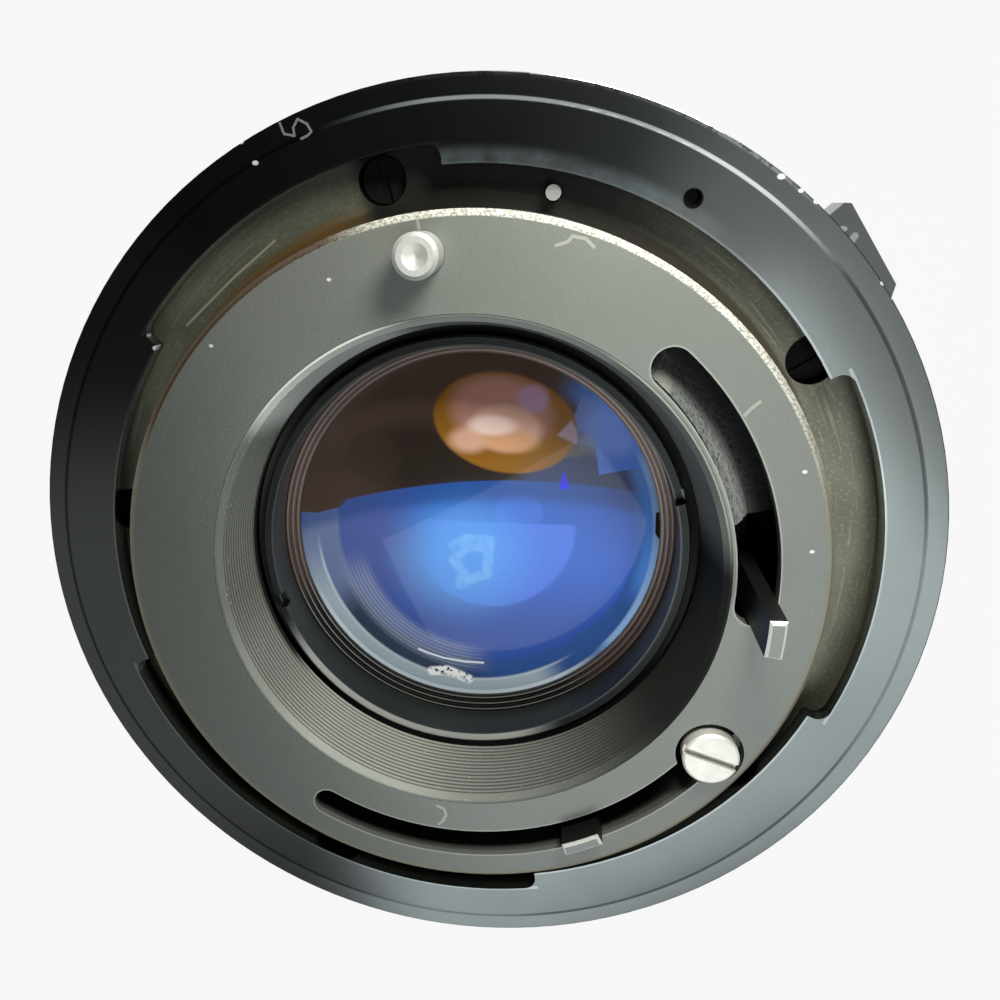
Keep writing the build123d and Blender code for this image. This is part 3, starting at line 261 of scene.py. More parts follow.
# %% The camera
bpy.ops.object.camera_add()
camera = bpy.context.object
spot = Vector((5.494, 23.929, 70.612))
right, up = Vector((0.98823, 0.0, -0.153)), Vector((-0.04828, 0.94889, -0.312))
aim = Matrix((right, up, right.cross(up))).transposed().to_4x4()
camera.matrix_world = Matrix.Translation(spot * MM) @ aim
camera.data.lens = 36
camera.data.sensor_width = 36
camera.data.shift_x, camera.data.shift_y = 0.10, 0.04
camera.data.clip_start = 0.001
bpy.context.scene.camera = camera
bpy.context.scene.view_settings.view_transform = "Standard"
print("camera at", [round(c, 4) for c in camera.location])

# %% [markdown]
# ## Light and floor
#
# Two things light the lens in the photograph. A near, soft lamp beyond its far side lights the top
# and the right of the disc and leaves the near left darker. A wide bright window on the near side lies
# in the mirror direction of the black ring there, which is why that black ring looks grey. Overhead it
# is dark, and the far and left parts of the ring that mirror it are nearly black. So there is one small
# lamp, one wide lamp, and a room that is pale near the horizon and dark overhead, with two dim patches.
# The camera itself sees plain white beyond the floor.


# %% Lamps
def lamp(name, spot, target, along, size, radiance, tint):
    """A soft lamp in millimetres; along is the way its long side runs."""
    toward = (Vector(spot) - Vector(target)).normalized()
    side = (Vector(along) - Vector(along).dot(toward) * toward).normalized()
    bpy.ops.object.light_add(type="AREA")
    light = bpy.context.object
    light.name = name
    turn = Matrix((side, toward.cross(side), toward)).transposed().to_4x4()
    light.matrix_world = Matrix.Translation(Vector(spot) * MM) @ turn
    light.data.shape = "RECTANGLE"
    light.data.size, light.data.size_y = size[0] * MM, size[1] * MM
    light.data.energy = radiance * math.pi * size[0] * size[1] * MM ** 2
    light.data.color = linear(tint)[:3]
    light.visible_camera = False
    print(name, round(light.data.energy, 3), "W")


lamp("near_lamp", (17, 50, 38), (4, 4, 5), (1, 0, 0), (20, 20), 55.0, "#fffcf4")
lamp("window", (25, -102, 229), (0, 0, 3), (0.87, 0.5, 0.13), (200, 150), 3.05, "#f8fbff")

# %% The room: pale near the horizon, dark overhead
world = bpy.data.worlds.new("room")
bpy.context.scene.world = world
world.use_nodes = True
tree = world.node_tree
tree.nodes.clear()
way = add(tree, "TexCoord", out="Generated")
height = add(tree, "SeparateXYZ", {0: way}, out="Z")
room = layered(tree, "#ffffff", [(band(tree, height, 0.52, None, 0.25), "#08090a", 1.0)])
# Each patch is its direction, the cosine up to which it is full, its softness and its colour.
patches = [((-0.402, -0.422, 0.813), 0.992, 0.03, "#a0a09c"),
           ((0.277, -0.133, 0.952), 0.99, 0.045, "#f4f4f4")]
for direction, core, soft, tint in patches:
    toward = add(tree, "VectorMath", {0: way, 1: direction}, out="Value", operation="DOT_PRODUCT")
    room = layered(tree, room, [(band(tree, toward, core, None, soft), tint, 1.0)])


def seen_directly(tree):
    """1 for rays from the camera, and for mirrored and refracted ones."""
    seen = 0.0
    for ray in ("Is Camera Ray", "Is Glossy Ray", "Is Transmission Ray"):
        seen = add(tree, "Math", {0: add(tree, "LightPath", out=ray), 1: seen}, operation="MAXIMUM")
    return seen


strength = between(tree, seen_directly(tree), 0.24, 1.0)
backdrop = layered(tree, room, [(add(tree, "LightPath", out="Is Camera Ray"), "#ffffff", 1.0)])
add(tree, "OutputWorld", {"Surface": add(tree, "Background", {"Color": backdrop, "Strength": strength})})

# %% The floor
bpy.ops.mesh.primitive_plane_add(size=4, location=(0, 0, cad_box[0][2]))
floor = bpy.context.object
floor.name = "floor"
material = bpy.data.materials.new("white_paper")
material.use_nodes = True
tree = material.node_tree
tree.nodes.clear()
speck = add(tree, "TexNoise", {"Vector": add(tree, "TexCoord", out="Object"), "Scale": 900.0})
matt = add(tree, "BsdfDiffuse", {"Color": layered(tree, "#f0f0ee", [(speck, "#e8e8e6", 1.0)])})
bright = add(tree, "Emission", {"Color": "#ffffff", "Strength": 1.0})
share = product(tree, seen_directly(tree), 0.92)
add(tree, "OutputMaterial", {"Surface": add(tree, "MixShader", {0: share, 1: matt, 2: bright})})
floor.data.materials.append(material)

# %% [markdown]
# ## The rear disc
#
# The disc is turned aluminium with a fine matt grey coat. A matt coat scatters light evenly, but the
# lathe marks under it still catch a little of the window. Its rim has rubbed on cameras for years, so
# the far edge is bare and glitters, and a brown line of old grease runs round the upper left. Painted
# shade darkens the disc towards the left, and a painted highlight runs along the edges of the two
# slots, where their chamfers would catch the light. The distance from a slot's centre line gives that edge.


# %% Distance from an arc slot
def degrees_past(tree, at, start):
    """How many degrees a point lies past an angle, from 0 to 360."""
    turned = add(tree, "Math", {0: at["angle"], 1: 720 - start}, operation="ADD")
    return add(tree, "Math", {0: turned, 1: 360.0}, operation="MODULO")


def from_arc(tree, at, radius, start, end):
    """How far a point lies from an arc about the axis, in millimetres."""
    beside = add(tree, "Math", {0: at["r"], 1: radius}, operation="SUBTRACT")
    beside = add(tree, "Math", {0: beside}, operation="ABSOLUTE")
    past = {0: degrees_past(tree, at, start), 1: (end - start) % 360}
    far = product(tree, add(tree, "Math", past, operation="GREATER_THAN"), 1000.0)
    nearest = add(tree, "Math", {0: beside, 1: far}, operation="ADD")
    for angle in (start, end):
        tip = (radius * math.cos(math.radians(angle)), radius * math.sin(math.radians(angle)), 0)
        distance = add(tree, "VectorMath", {0: at["flat"], 1: tip}, out="Value", operation="DISTANCE")
        nearest = add(tree, "Math", {0: nearest, 1: distance}, operation="MINIMUM")
    return nearest


# %% Marks on the disc, in millimetres from the axis
# Each scratch is the points of a line.
scratches = [
    [(-1.58, -18.07), (-1.06, -18.27), (-0.9, -18.77), (-1.12, -19.31), (-1.42, -19.6)],
    [(5.19, 21.75), (5.86, 21.95), (6.14, 22.29), (6.93, 22.14), (7.44, 21.67)],
    [(17.21, 11.74), (17.59, 12.2), (18.02, 12.59)], [(-3.38, 23.66), (-3.17, 22.67)]]
crumbs = [(21.17, 8.28), (22.25, 3.07), (-8.9, 19.6), (-16.9, 15.3), (-10.2, -17.9)]
# Each slot is its centre line's radius, start and end, and half its width.
slots = [(19.25, 357.2, 48.8, 1.35), (21.0, 242.0, 325.3, 1.0)]


# %% The disc's matt grey coat
def grey_coat(tree, at):
    """Fine matt coat on turned aluminium: grey, a faint 0.12 mm grain, rubbed edges, painted shade and
    highlights.
    """
    cloud = grain(tree, at, 9.0, 4.0)
    fine = grain(tree, at, 0.12, 2.0)
    # Painted shade: the disc is darkened towards the left.
    painted_left_shade = {0: at["flat"], 1: (-0.9, -0.44, 0)}
    painted_left_shade = add(tree, "VectorMath", painted_left_shade, out="Value", operation="DOT_PRODUCT")
    top = band(tree, at["z"], disc_top - 0.45, None, 0.1)
    chips = band(tree, grain(tree, at, 0.16, 5.0), 0.52, None, 0.1)
    rim = product(tree, band(tree, at["r"], disc_r - 0.38, None, 0.1), top)
    far_rim = product(tree, rim, band(tree, at["angle"], 50, 102, 40))
    grease = product(tree, rim, band(tree, at["angle"], 114, 152, 12))
    layers = [(cloud, "#797d77", 0.5), (fine, "#575b55", 0.35),
              (band(tree, painted_left_shade, 20, None, 16), "#434742", 0.58), (rim, "#6f6b52", 0.6),
              (far_rim, "#a8a99c", 0.6), (product(tree, far_rim, chips), "#dcdcd2", 0.75),
              (grease, "#3a2409", 0.9)]
    for x, y in crumbs:
        layers.append((product(tree, ellipse(tree, at, x, y, 0.15, 0.11, 0.6), top), "#d6d8d0", 0.9))
    # Painted highlight: a pale line along each slot's edge, where its chamfer would catch the light.
    for radius, start, end, half in slots:
        edge = band(tree, from_arc(tree, at, radius, start, end), half, half + 0.06, 0.08)
        layers.append((product(tree, edge, top), "#a3a79e", 0.45))
    for line in scratches:
        layers.append((product(tree, stroke(tree, at, line, 0.2), top), "#aaaaa0", 0.5))
    bump = relief(tree, fine, 0.012)
    return {"Base Color": layered(tree, "#6c716b", layers), "Metallic": 0.6,
            "Roughness": between(tree, cloud, 0.38, 0.44),
            "Normal": relief(tree, lathe_marks(tree, at, 0.25), 0.003, bump)}


dress(finish("matt_coated_aluminium", grey_coat), "mount_plate")

# %% The ridged well
# The ridges climb the wall to the flare at its mouth; the flare's lip lies inside lip_r.
ridges = 14
flare_z = well_top - 0.5
ridge_pitch = (flare_z - well_bottom) / ridges
lip_r = 17.4


def ridged_coat(tree, at):
    """The same coat inside the well, with painted light and painted shade on its walls and in its grooves."""
    fine = grain(tree, at, 0.15, 2.0)
    climb = add(tree, "Math", {0: at["z"], 1: well_bottom}, operation="SUBTRACT")
    # Painted shade: a dark line in the groove between each pair of ridges, up to the flare.
    groove = product(tree, band(tree, ripple(tree, climb, ridge_pitch), None, 0.1, 0.6),
                     band(tree, at["z"], None, flare_z - 0.05, 0.05))
    # Painted shade: nearly black on the right of the well, from -32 to 2 degrees, with no dust there.
    shade = product(tree, band(tree, at["angle"], -32, None, 58), band(tree, at["angle"], None, 2, 14))
    dust = product(tree, band(tree, grain(tree, at, 0.18, 2.0), 0.71, None, 0.03), without(tree, shade))
    # Painted highlight on the flare's lip at the far side, and painted shade just outside it.
    far = (64, 136, 14)
    high_up = band(tree, at["z"], flare_z - 0.2, None, 0.1)
    lip = product(tree, ring_part(tree, at, (None, lip_r, 0.04), far), high_up)
    lip_edge_shade = ring_part(tree, at, (lip_r + 0.05, None, 0.02), far)
    # Painted light: the wall is paler at the upper left, from 112 to 138 degrees.
    painted_upper_left = product(tree, band(tree, at["angle"], 112, 138, 12),
                         band(tree, at["z"], well_bottom + 0.6, None, 0.3))
    # Painted shade: nearly black at the bottom of the well, from 88 to 222 degrees.
    deep = product(tree, band(tree, at["z"], None, well_bottom + 0.3, 0.4),
                   without(tree, band(tree, at["angle"], -138, 88, 10)))
    # Painted light and shade: paler at the near left (-125 to -108 degrees), darker at the left (past 152 and
    # -172 degrees).
    colour = layered(tree, "#7c807a", [
        (fine, "#626660", 0.4), (band(tree, at["angle"], -125, -108, 26), "#979b94", 0.95),
        (band(tree, at["angle"], 152, None, 12), "#5d615b", 0.95),
        (band(tree, at["angle"], None, -172, 22), "#5d615b", 0.95), (shade, "#060706", 0.95),
        (groove, "#22251f", 0.68), (dust, "#d8dad2", 0.3), (lip, "#a9aea7", 0.9), (lip_edge_shade, "#4d504b", 0.9),
        (painted_upper_left, "#b9beb6", 0.85), (deep, "#050605", 0.95)])
    return {"Base Color": colour, "Roughness": 0.6, "Specular IOR Level": 0.1,
            "Normal": relief(tree, fine, 0.012)}


dress(finish("ridged_matt_coat", ridged_coat), "light_trap")

# %% [markdown]
# ## Black anodised aluminium
#
# The breech ring, the aperture ring and all the tubes are black anodised. The dye makes the oxide
# black, but the metal below still mirrors a good part of the window, softly, because the surface was
# bead-blasted before. That is what a dark metallic colour with a low roughness gives. Where fingers
# and cameras rub the edges, bare aluminium comes through as thin lines and bright specks.

# %% Marks on the breech ring, in millimetres from the axis
# Each speck is its place and size; the digit is the points of a line.
specks = [(-14.5, 26.68, 0.3), (-15.52, 27.97, 0.25), (18.57, 25.71, 0.34), (19.83, 24.9, 0.25),
          (20.85, 24.27, 0.3), (25.39, 19.47, 0.28), (26.12, 18.57, 0.22), (-22.58, 15.43, 0.42),
          (-22.28, 14.54, 0.36)]
five = [(-12.86, 29.09), (-12.55, 28.43), (-11.83, 28.3), (-11.94, 28.78), (-11.66, 29.31), (-11.01, 29.01),
        (-10.7, 28.53), (-10.97, 28.29), (-11.37, 28.12)]
# The cut-outs run from one angle to another.
cut_outs = [(94.9, 146.5), (201.1, 282.5), (336.8, 390.4)]
lug_r, cut_out_r, step_r = 26.6, 27.9, breech_r - 1.55


# %% Black anodising, fine and rough
def black_anodised(tree, at):
    """Blasted and dyed aluminium: nearly black, softly metallic, with a grain of 0.1 mm."""
    cloud = grain(tree, at, 5.0, 4.0)
    fine = grain(tree, at, 0.1, 2.0)
    colour = layered(tree, "#656a69", [(cloud, "#5b605f", 0.6), (fine, "#4c5150", 0.4)])
    return {"Base Color": colour, "Metallic": 0.97, "Roughness": between(tree, cloud, 0.13, 0.18),
            "Normal": relief(tree, fine, 0.0012)}


def barrel_black(tree, at):
    """The same finish on the barrel, blasted rougher, so it stays plainly black."""
    cloud = grain(tree, at, 8.0, 4.0)
    fine = grain(tree, at, 0.12, 2.0)
    colour = layered(tree, "#232526", [(cloud, "#1d1f20", 0.6), (fine, "#2c2e2f", 0.4)])
    return {"Base Color": colour, "Metallic": 0.7, "Roughness": between(tree, cloud, 0.36, 0.44),
            "Normal": relief(tree, fine, 0.006)}


dress(finish("black_anodised_barrel", barrel_black), "index_ring", "main_barrel", "zoom_sleeve",
      "sleeve_end_ring", "grip_ring", "helicoid_ring")


# %% The breech ring's wear, and painted light and shade on it
def rubbed_edges(tree, at):
    """Masks for the edge of the lugs and for the edge of the cut-outs."""
    turned = degrees_past(tree, at, 0)
    open_arc = 0.0
    for start, end in cut_outs:
        for whole in (0, 360):
            here = band(tree, turned, start - whole, end - whole, 0.3)
            open_arc = add(tree, "Math", {0: here, 1: open_arc}, operation="MAXIMUM")
    lug_line = product(tree, band(tree, at["r"], lug_r - 0.1, lug_r + 0.12, 0.04), without(tree, open_arc))
    cut_line = product(tree, band(tree, at["r"], cut_out_r - 0.1, cut_out_r + 0.1, 0.04), open_arc)
    return lug_line, cut_line


def scratched_marks(tree, at):
    """A mask for the digit and the specks."""
    marks = product(tree, stroke(tree, at, five, 0.16), 0.5)
    for x, y, size in specks:
        speck = ellipse(tree, at, x, y, size * 0.75, size * 0.5, 0.4)
        marks = add(tree, "Math", {0: speck, 1: marks}, operation="MAXIMUM")
    return marks


def breech_black(tree, at):
    """Fine black anodising with bare edges, a smear on the far lug, a few marks, and painted light and shade.
    """
    shader = black_anodised(tree, at)
    face = band(tree, at["z"], breech_top - 0.6, None, 0.2)
    far_side = band(tree, at["angle"], 56, 94, 18)
    lug_line, cut_line = rubbed_edges(tree, at)
    groove = band(tree, at["r"], step_r - 0.04, step_r + 0.12, 0.1)
    chips = product(tree, ring_part(tree, at, (breech_r - 0.2, None, 0.1), (58, 96, 12)),
                    band(tree, grain(tree, at, 0.3, 5.0), 0.5, None, 0.12))
    smear = product(tree, ring_part(tree, at, (lug_r, lug_r + 0.4, 0.9), (62, 94, 12)),
                    grain(tree, at, 1.6, 5.0), face)
    marks = scratched_marks(tree, at)
    # Painted highlight: a pale line on the step at the far side. Painted shade: the face darker from 72 to
    # 128 degrees.
    on_face = [(groove, "#1f2324", 0.7), (product(tree, groove, far_side), "#a3acae", 0.85),
               (lug_line, "#8f9694", 0.5), (cut_line, "#8f9694", 0.6), (chips, "#a9b0af", 0.7),
               (band(tree, at["angle"], 72, 128, 14), "#2c3134", 0.6), (smear, "#465055", 0.9),
               (marks, "#b9bfbb", 0.95)]
    layers = [(product(tree, mask, face), colour, share) for mask, colour, share in on_face]
    # Painted shade: a dark ring round the lug's small hole, wider than the hole, and the ring darker from -20
    # to 2 and -100 to -84 degrees.
    layers += [(ellipse(tree, at, 13.43, 24.45, 0.62, 0.62, 0.2), "#030404", 0.97),
               (band(tree, at["angle"], -20, 2, 10), "#565c5b", 0.5),
               (band(tree, at["angle"], -100, -84, 8), "#565c5b", 0.5),
               (band(tree, at["z"], None, breech_top - 1.1, 0.3), "#2b2e2f", 0.85)]
    outward = {"Value": at["r"], "From Min": step_r, "From Max": breech_r - 0.05, "To Max": 1.5}
    soft_edge = relief(tree, add(tree, "MapRange", outward), 0.28, shader["Normal"])
    # Less metallic where rubbed and where the far step carries its painted highlight.
    worn_and_highlit = add(tree, "Math", {0: product(tree, groove, far_side), 1: smear}, operation="MAXIMUM")
    worn_and_highlit = product(tree, add(tree, "Math", {0: worn_and_highlit, 1: marks}, operation="MAXIMUM"), face)
    return {**shader, "Base Color": layered(tree, shader["Base Color"], layers),
            "Metallic": between(tree, worn_and_highlit, 0.97, 0.35), "Normal": soft_edge}


dress(finish("worn_anodised_breech", breech_black), "breech_ring")


# %% Aperture ring with the rubbed fin
def fin_black(tree, at):
    """Black anodised, rubbed bare in two short streaks on the fin."""
    shader = black_anodised(tree, at)
    ring_r = reach("aperture_ring")[0]
    fin = ring_part(tree, at, (ring_r - 0.7, None, 0.2), (30, 52, 2))
    layers = [(without(tree, fin), "#2b2e2f", 0.85),
              (stroke(tree, at, [(26.69, 21.94), (26.52, 21.66)], 0.5), "#b3b9b6", 0.6),
              (ellipse(tree, at, 25.79, 22.43, 0.3, 0.2, 0.5), "#a9afac", 0.8)]
    return {**shader, "Base Color": layered(tree, shader["Base Color"], layers)}


dress(finish("rubbed_anodised_fin", fin_black), "aperture_ring")


# %% The cell of the rear glass
def cell_black(tree, at):
    """Black anodised, turned smooth: the edges of its steps show as fine grey lines."""
    shader = black_anodised(tree, at)
    # Near side of the rim: a pale patch of rubbed metal, and also a painted highlight where it faces the
    # window.
    rub = band(tree, grain(tree, at, 0.4, 4.0), 0.3, None, 0.3)
    bare = product(tree, ring_part(tree, at, (cell_r - 0.62, None, 0.06), (-140, -78, 18)), rub)
    outer_line = band(tree, at["r"], cell_r - 0.13, None, 0.06)
    inner_line = band(tree, at["r"], glass_r + 0.36, glass_r + 0.5, 0.05)
    colour = layered(tree, "#262928", [(grain(tree, at, 0.5), "#1b1d1c", 0.6), (outer_line, "#6d736e", 0.5),
                                       (inner_line, "#545955", 0.5), (bare, "#b4b6b0", 0.8)])
    return {**shader, "Base Color": colour, "Metallic": between(tree, bare, 0.9, 0.2), "Roughness": 0.4,
            "Normal": relief(tree, lathe_marks(tree, at, 0.2), 0.006)}


def brown_ring(tree, at):
    """The stepped ring inside the cell: brownish anodising with pale step edges, and painted light on the
    near side.
    """
    # Painted light on the near side: dark between the steps, with the step edges painted bright.
    near = band(tree, at["angle"], -150, -62, 16)
    line = band(tree, ripple(tree, at["r"], 0.333), 0.7, None, 0.2)
    colour = layered(tree, "#4a3d38", [(near, "#121413", 0.95), (line, "#988d85", 0.45),
                                       (product(tree, line, near), "#b4bcba", 0.6)])
    return {"Base Color": colour, "Metallic": 0.6, "Roughness": 0.36,
            "Normal": relief(tree, lathe_marks(tree, at, 0.15), 0.006)}


dress(finish("turned_black_cell", cell_black), "rear_cell")
dress(finish("brown_anodised_steps", brown_ring), "rear_retaining_ring")


# %% Front barrel with its filter thread
def threaded_black(tree, at):
    """Black anodised, with a 0.75 mm filter thread inside the rim."""
    shader = barrel_black(tree, at)
    pitch, thread_r, rim_z = 0.75, 27.1, reach("front_barrel")[1]
    turn = add(tree, "Math", {0: at["angle"], 1: pitch / 360}, operation="MULTIPLY")
    climb = add(tree, "Math", {0: at["z"], 1: turn}, operation="ADD")
    inside = product(tree, band(tree, at["r"], thread_r - 0.2, thread_r + 0.1, 0.05),
                     band(tree, at["z"], rim_z + 0.4, rim_z + 4.6, 0.1))
    height = product(tree, ripple(tree, climb, pitch), inside)
    return {**shader, "Normal": relief(tree, height, 0.25, shader["Normal"])}


dress(finish("threaded_black_anodised", threaded_black), "front_barrel", "front_retaining_ring")

# %% [markdown]
# ## Brass flange, bright pins and blackened levers
#
# The flange is brass that has browned with age to a dull olive, darker beside the disc, with painted
# shade at the upper left, under the far lug and down the screw holes; a few fine scratches round it show
# paler. The two pins are nickel-plated steel, so they are bright and a little rough. The levers are
# steel strips, blackened and then polished at the tips.


# %% Aged brass
long_scratch = [(-21.1, 15.8), (-17.6, 19.0), (-14.3, 21.7)]


def aged_brass(tree, at):
    """Brass with a brown-olive skin: streaked round the axis, dusty, darker beside the disc, with painted
    shade.
    """
    streak = lathe_marks(tree, at, 0.2)
    patch = grain(tree, at, 2.5, 4.0)
    scratch = product(tree, band(tree, streak, 0.62, None, 0.04), band(tree, patch, 0.52, None, 0.1))
    dust = band(tree, grain(tree, at, 0.25, 3.0), 0.62, None, 0.04)
    beside = band(tree, at["r"], None, disc_r + 0.7, 0.35)
    grease = ring_part(tree, at, (None, disc_r + 1.1, 0.5), (116, 150, 12))
    # Painted shadow: nearly black under the far lug, from about 76 to 106 degrees.
    lug_shadow = product(tree, band(tree, at["angle"], 76, None, 34), band(tree, at["angle"], None, 106, 4))
    # Painted shade: darker in patches at the upper left, from 102 to 168 degrees.
    painted_upper_left = product(tree, band(tree, at["angle"], 102, 168, 8), between(tree, patch, 0.2, 1.0))
    # Painted shade: nearly black down the screw holes, below -0.4 mm.
    hole_shade = band(tree, at["z"], None, -0.4, 0.2)
    colour = layered(tree, "#66675a", [
        (patch, "#4a4b3e", 0.7), (scratch, "#8f8d78", 0.4), (dust, "#94967f", 0.25),
        (beside, "#33291a", 0.85), (painted_upper_left, "#2f3329", 0.75), (grease, "#5a4216", 0.7),
        (lug_shadow, "#050604", 0.96), (hole_shade, "#040404", 0.9),
        (stroke(tree, at, long_scratch, 0.16), "#a5a48c", 0.5)])
    return {"Base Color": colour, "Metallic": 0.55, "Roughness": between(tree, patch, 0.36, 0.5),
            "Normal": relief(tree, streak, 0.01)}


dress(finish("aged_brass", aged_brass), "mount_flange")


# %% Steel: bright, black and blackened with a polished tip
def bright_steel(bright, dull):
    """Nickel-plated steel with faint turning marks."""
    def build(tree, at):
        cloud = grain(tree, at, 1.0, 3.0)
        colour = layered(tree, bright, [(cloud, dull, 0.6)])
        return {"Base Color": colour, "Metallic": 0.6, "Roughness": between(tree, cloud, 0.4, 0.6),
                "Normal": relief(tree, grain(tree, at, 0.25), 0.02)}
    return build


def black_oxide(tree, at):
    """Screws with a black oxide: nearly black, with a few bright grains of dust."""
    dust = band(tree, grain(tree, at, 0.2, 2.0), 0.72, None, 0.03)
    return {"Base Color": layered(tree, "#020202", [(dust, "#3a3c38", 0.5)]), "Roughness": 0.6,
            "Specular IOR Level": 0.15}


def blackened_lever(tree, at):
    """Black oxide on steel, polished grey on the end face and bright on its bevel."""
    fine = grain(tree, at, 0.15)
    layers = [(fine, "#1e2020", 0.6)]
    for name, from_y, to_y in (("stop_down_lever", -10, None), ("signal_lever", None, -12)):
        top, where = reach(name)[2], band(tree, at["y"], from_y, to_y, 1)
        bevel = product(tree, band(tree, at["z"], top - 0.26, None, 0.03), where)
        face = product(tree, band(tree, at["z"], top - 0.015, None, 0.01), where)
        layers += [(bevel, "#d4d8d2", 0.95), (face, "#6d736d", 0.95)]
    return {"Base Color": layered(tree, "#131414", layers), "Metallic": 0.5, "Roughness": 0.42,
            "Normal": relief(tree, fine, 0.01)}


dress(finish("dull_nickel_pin", bright_steel("#aeb1ac", "#8a8d88")), "full_aperture_pin")
dress(finish("grey_steel_tip", bright_steel("#7c7f7c", "#5a5d5a")), "lock_pin")
dress(finish("nickel_plated_steel", bright_steel("#e6e6de", "#cfcfc6")), "ae_switch_pin",
      "breech_stop_screw", "helicoid_screws", "click_ball", "aperture_link_screw")
dress(finish("black_oxide_screws", black_oxide), "flange_screws")
dress(finish("blackened_steel", blackened_lever), "stop_down_lever", "signal_lever")


# %% The pieces inside
def bare_metal(base, dark):
    """Bare turned metal in a given colour, for pieces that hardly show."""
    def build(tree, at):
        marks = lathe_marks(tree, at, 0.3)
        return {"Base Color": layered(tree, base, [(marks, dark, 0.6)]), "Metallic": 0.9,
                "Roughness": 0.35, "Normal": relief(tree, marks, 0.01)}
    return build


def matt_paint(tree, at):
    """Matt black paint against stray light."""
    fine = grain(tree, at, 0.2)
    return {"Base Color": layered(tree, "#101112", [(fine, "#1a1b1c", 0.7)]), "Roughness": 0.8,
            "Normal": relief(tree, fine, 0.015)}


dress(finish("turned_aluminium", bare_metal("#b4b6b2", "#8e908c")), "rear_housing", "iris_housing",
      "guide_tube", "cam_barrel")
dress(finish("turned_brass", bare_metal("#b89a58", "#8d733c")), "spacer_washer", "cam_retaining_ring",
      "zoom_drive_screws", "front_guide_keys", "variator_rollers", "compensator_rollers")
dress(finish("drawn_spring_steel", bare_metal("#8c8e90", "#626466")), "ae_pin_spring", "click_spring",
      "lever_ring_clip", "stop_down_spring")
dress(finish("blued_blade_steel", bare_metal("#2c2d30", "#1d1e20")),
      *[f"iris_blade_{k}" for k in range(1, 7)])
dress(finish("matt_black_paint", matt_paint), "lever_guide_plate", "iris_cover", "relay_tube",
      "relay_front_cell", "variator_cell", "compensator_cell", "focus_key")

# %% [markdown]
# ## The coated rear glass
#
# A coated element mirrors the room in the colour of its coating, once from each surface. Here that gives
# an amber patch with a peach heart, a blue field over the lower half with a paler disc in it, and small
# blue shapes on the right. Glass that only mirrored this plain studio would be black, so those
# reflections are laid in the glass as colours, and a thin gloss over them mirrors the real lamps. Each
# reflection is an ellipse, a polygon, a line or a stretch of a ring, and all lie where the photograph
# has them. A bent edge parts the dark half from the blue one.

# %% Marks in the rear glass, in millimetres from the axis
# The step at the left end of the bent edge, three lines, the dark tab at the rim and the big disc.
left_step = [(-14, 5.0), (-14, 0.9), (-12.5, 0.95), (-10.6, 1.6), (-9.2, 3.2), (-9.2, 5.0)]
torn_ring = [(-1.6, -0.84), (-0.58, -0.21), (1.14, -0.26), (1.1, -1.49), (1.04, -3.03), (0.18, -3.3),
             (-1.02, -4.0), (-0.8, -2.88), (-1.58, -2.0), (-0.9, -1.2), (-0.3, -0.7), (0.6, -0.9)]
thin_arc = [(-4.32, -10.02), (-3.6, -10.3), (-2.3, -10.66), (-0.6, -10.86), (0.9, -10.87)]
scuff_line = [(-3.2, -12.0), (-2.0, -11.8), (-1.2, -12.1), (-0.3, -12.5)]
rim_tab = [(13.44, 2.24), (13.51, 0.57), (13.94, -0.04), (14.4, -0.3), (14.4, 2.4)]
disc_centre = (0.85, 0.4)

# %% Spots and cards in the rear glass
# A spot is its centre, half width, half height, softness and tilt, with its colour and strength.
shadows = [(-4.6, 6.0, 3.6, 3.4, 1.2, 0, "#1c1a17", 0.85), (1.5, 5.2, 6.0, 1.6, 1.0, 0, "#201d1a", 0.8)]
blue_spots = [(10.0, 8.6, 2.4, 2.0, 0.9, 0, "#82a4f4", 0.7), (7.0, 7.4, 1.5, 1.0, 0.6, 0, "#6a6e78", 0.6)]
amber_spots = [
    (2.0, 8.75, 5.35, 3.6, 0.07, -11, "#8c601f", 0.95), (1.7, 9.6, 3.7, 2.5, 0.5, -10, "#bd8a80", 0.85),
    (4.0, 10.6, 1.1, 1.0, 0.6, 0, "#b795b8", 0.7), (-0.6, 7.5, 1.4, 0.9, 0.9, 0, "#e0b49c", 0.8),
    (2.1, 8.4, 2.6, 1.7, 0.4, -6, "#dcae98", 0.9), (2.3, 7.5, 2.0, 0.8, 0.8, -6, "#d8a068", 0.6),
    (1.1, 8.6, 1.7, 0.7, 0.8, 0, "#ffe6dc", 0.8)]
# A card is its corners and softness, with its colour and strength.
blue_cards = [
    ([(8.48, 10.3), (8.65, 7.2), (9.05, 4.99), (12.31, 5.66), (12.62, 6.61), (10.57, 9.51), (9.5, 10.5)],
     0.12, "#4c7be2", 0.9),
    ([(7.5, 11.04), (6.9, 9.29), (7.53, 7.16), (8.75, 7.1), (8.8, 10.5)], 0.15, "#6a7fb8", 0.9),
    ([(6.22, 3.9), (7.07, 3.94), (6.43, 5.56)], 0.1, "#2526e6", 1.0)]
pale_card = [([(5.65, 7.93), (7.47, 7.16), (7.47, 8.32), (6.87, 9.29)], 0.25, "#bba4b8", 0.8)]


def spots(tree, at, rows):
    """Layers of paint for ellipses."""
    return [(ellipse(tree, at, *shape), colour, strength) for *shape, colour, strength in rows]


def cards(tree, at, rows):
    """Layers of paint for polygons."""
    return [(polygon(tree, at, corners, soft), colour, strength) for corners, soft, colour, strength in rows]


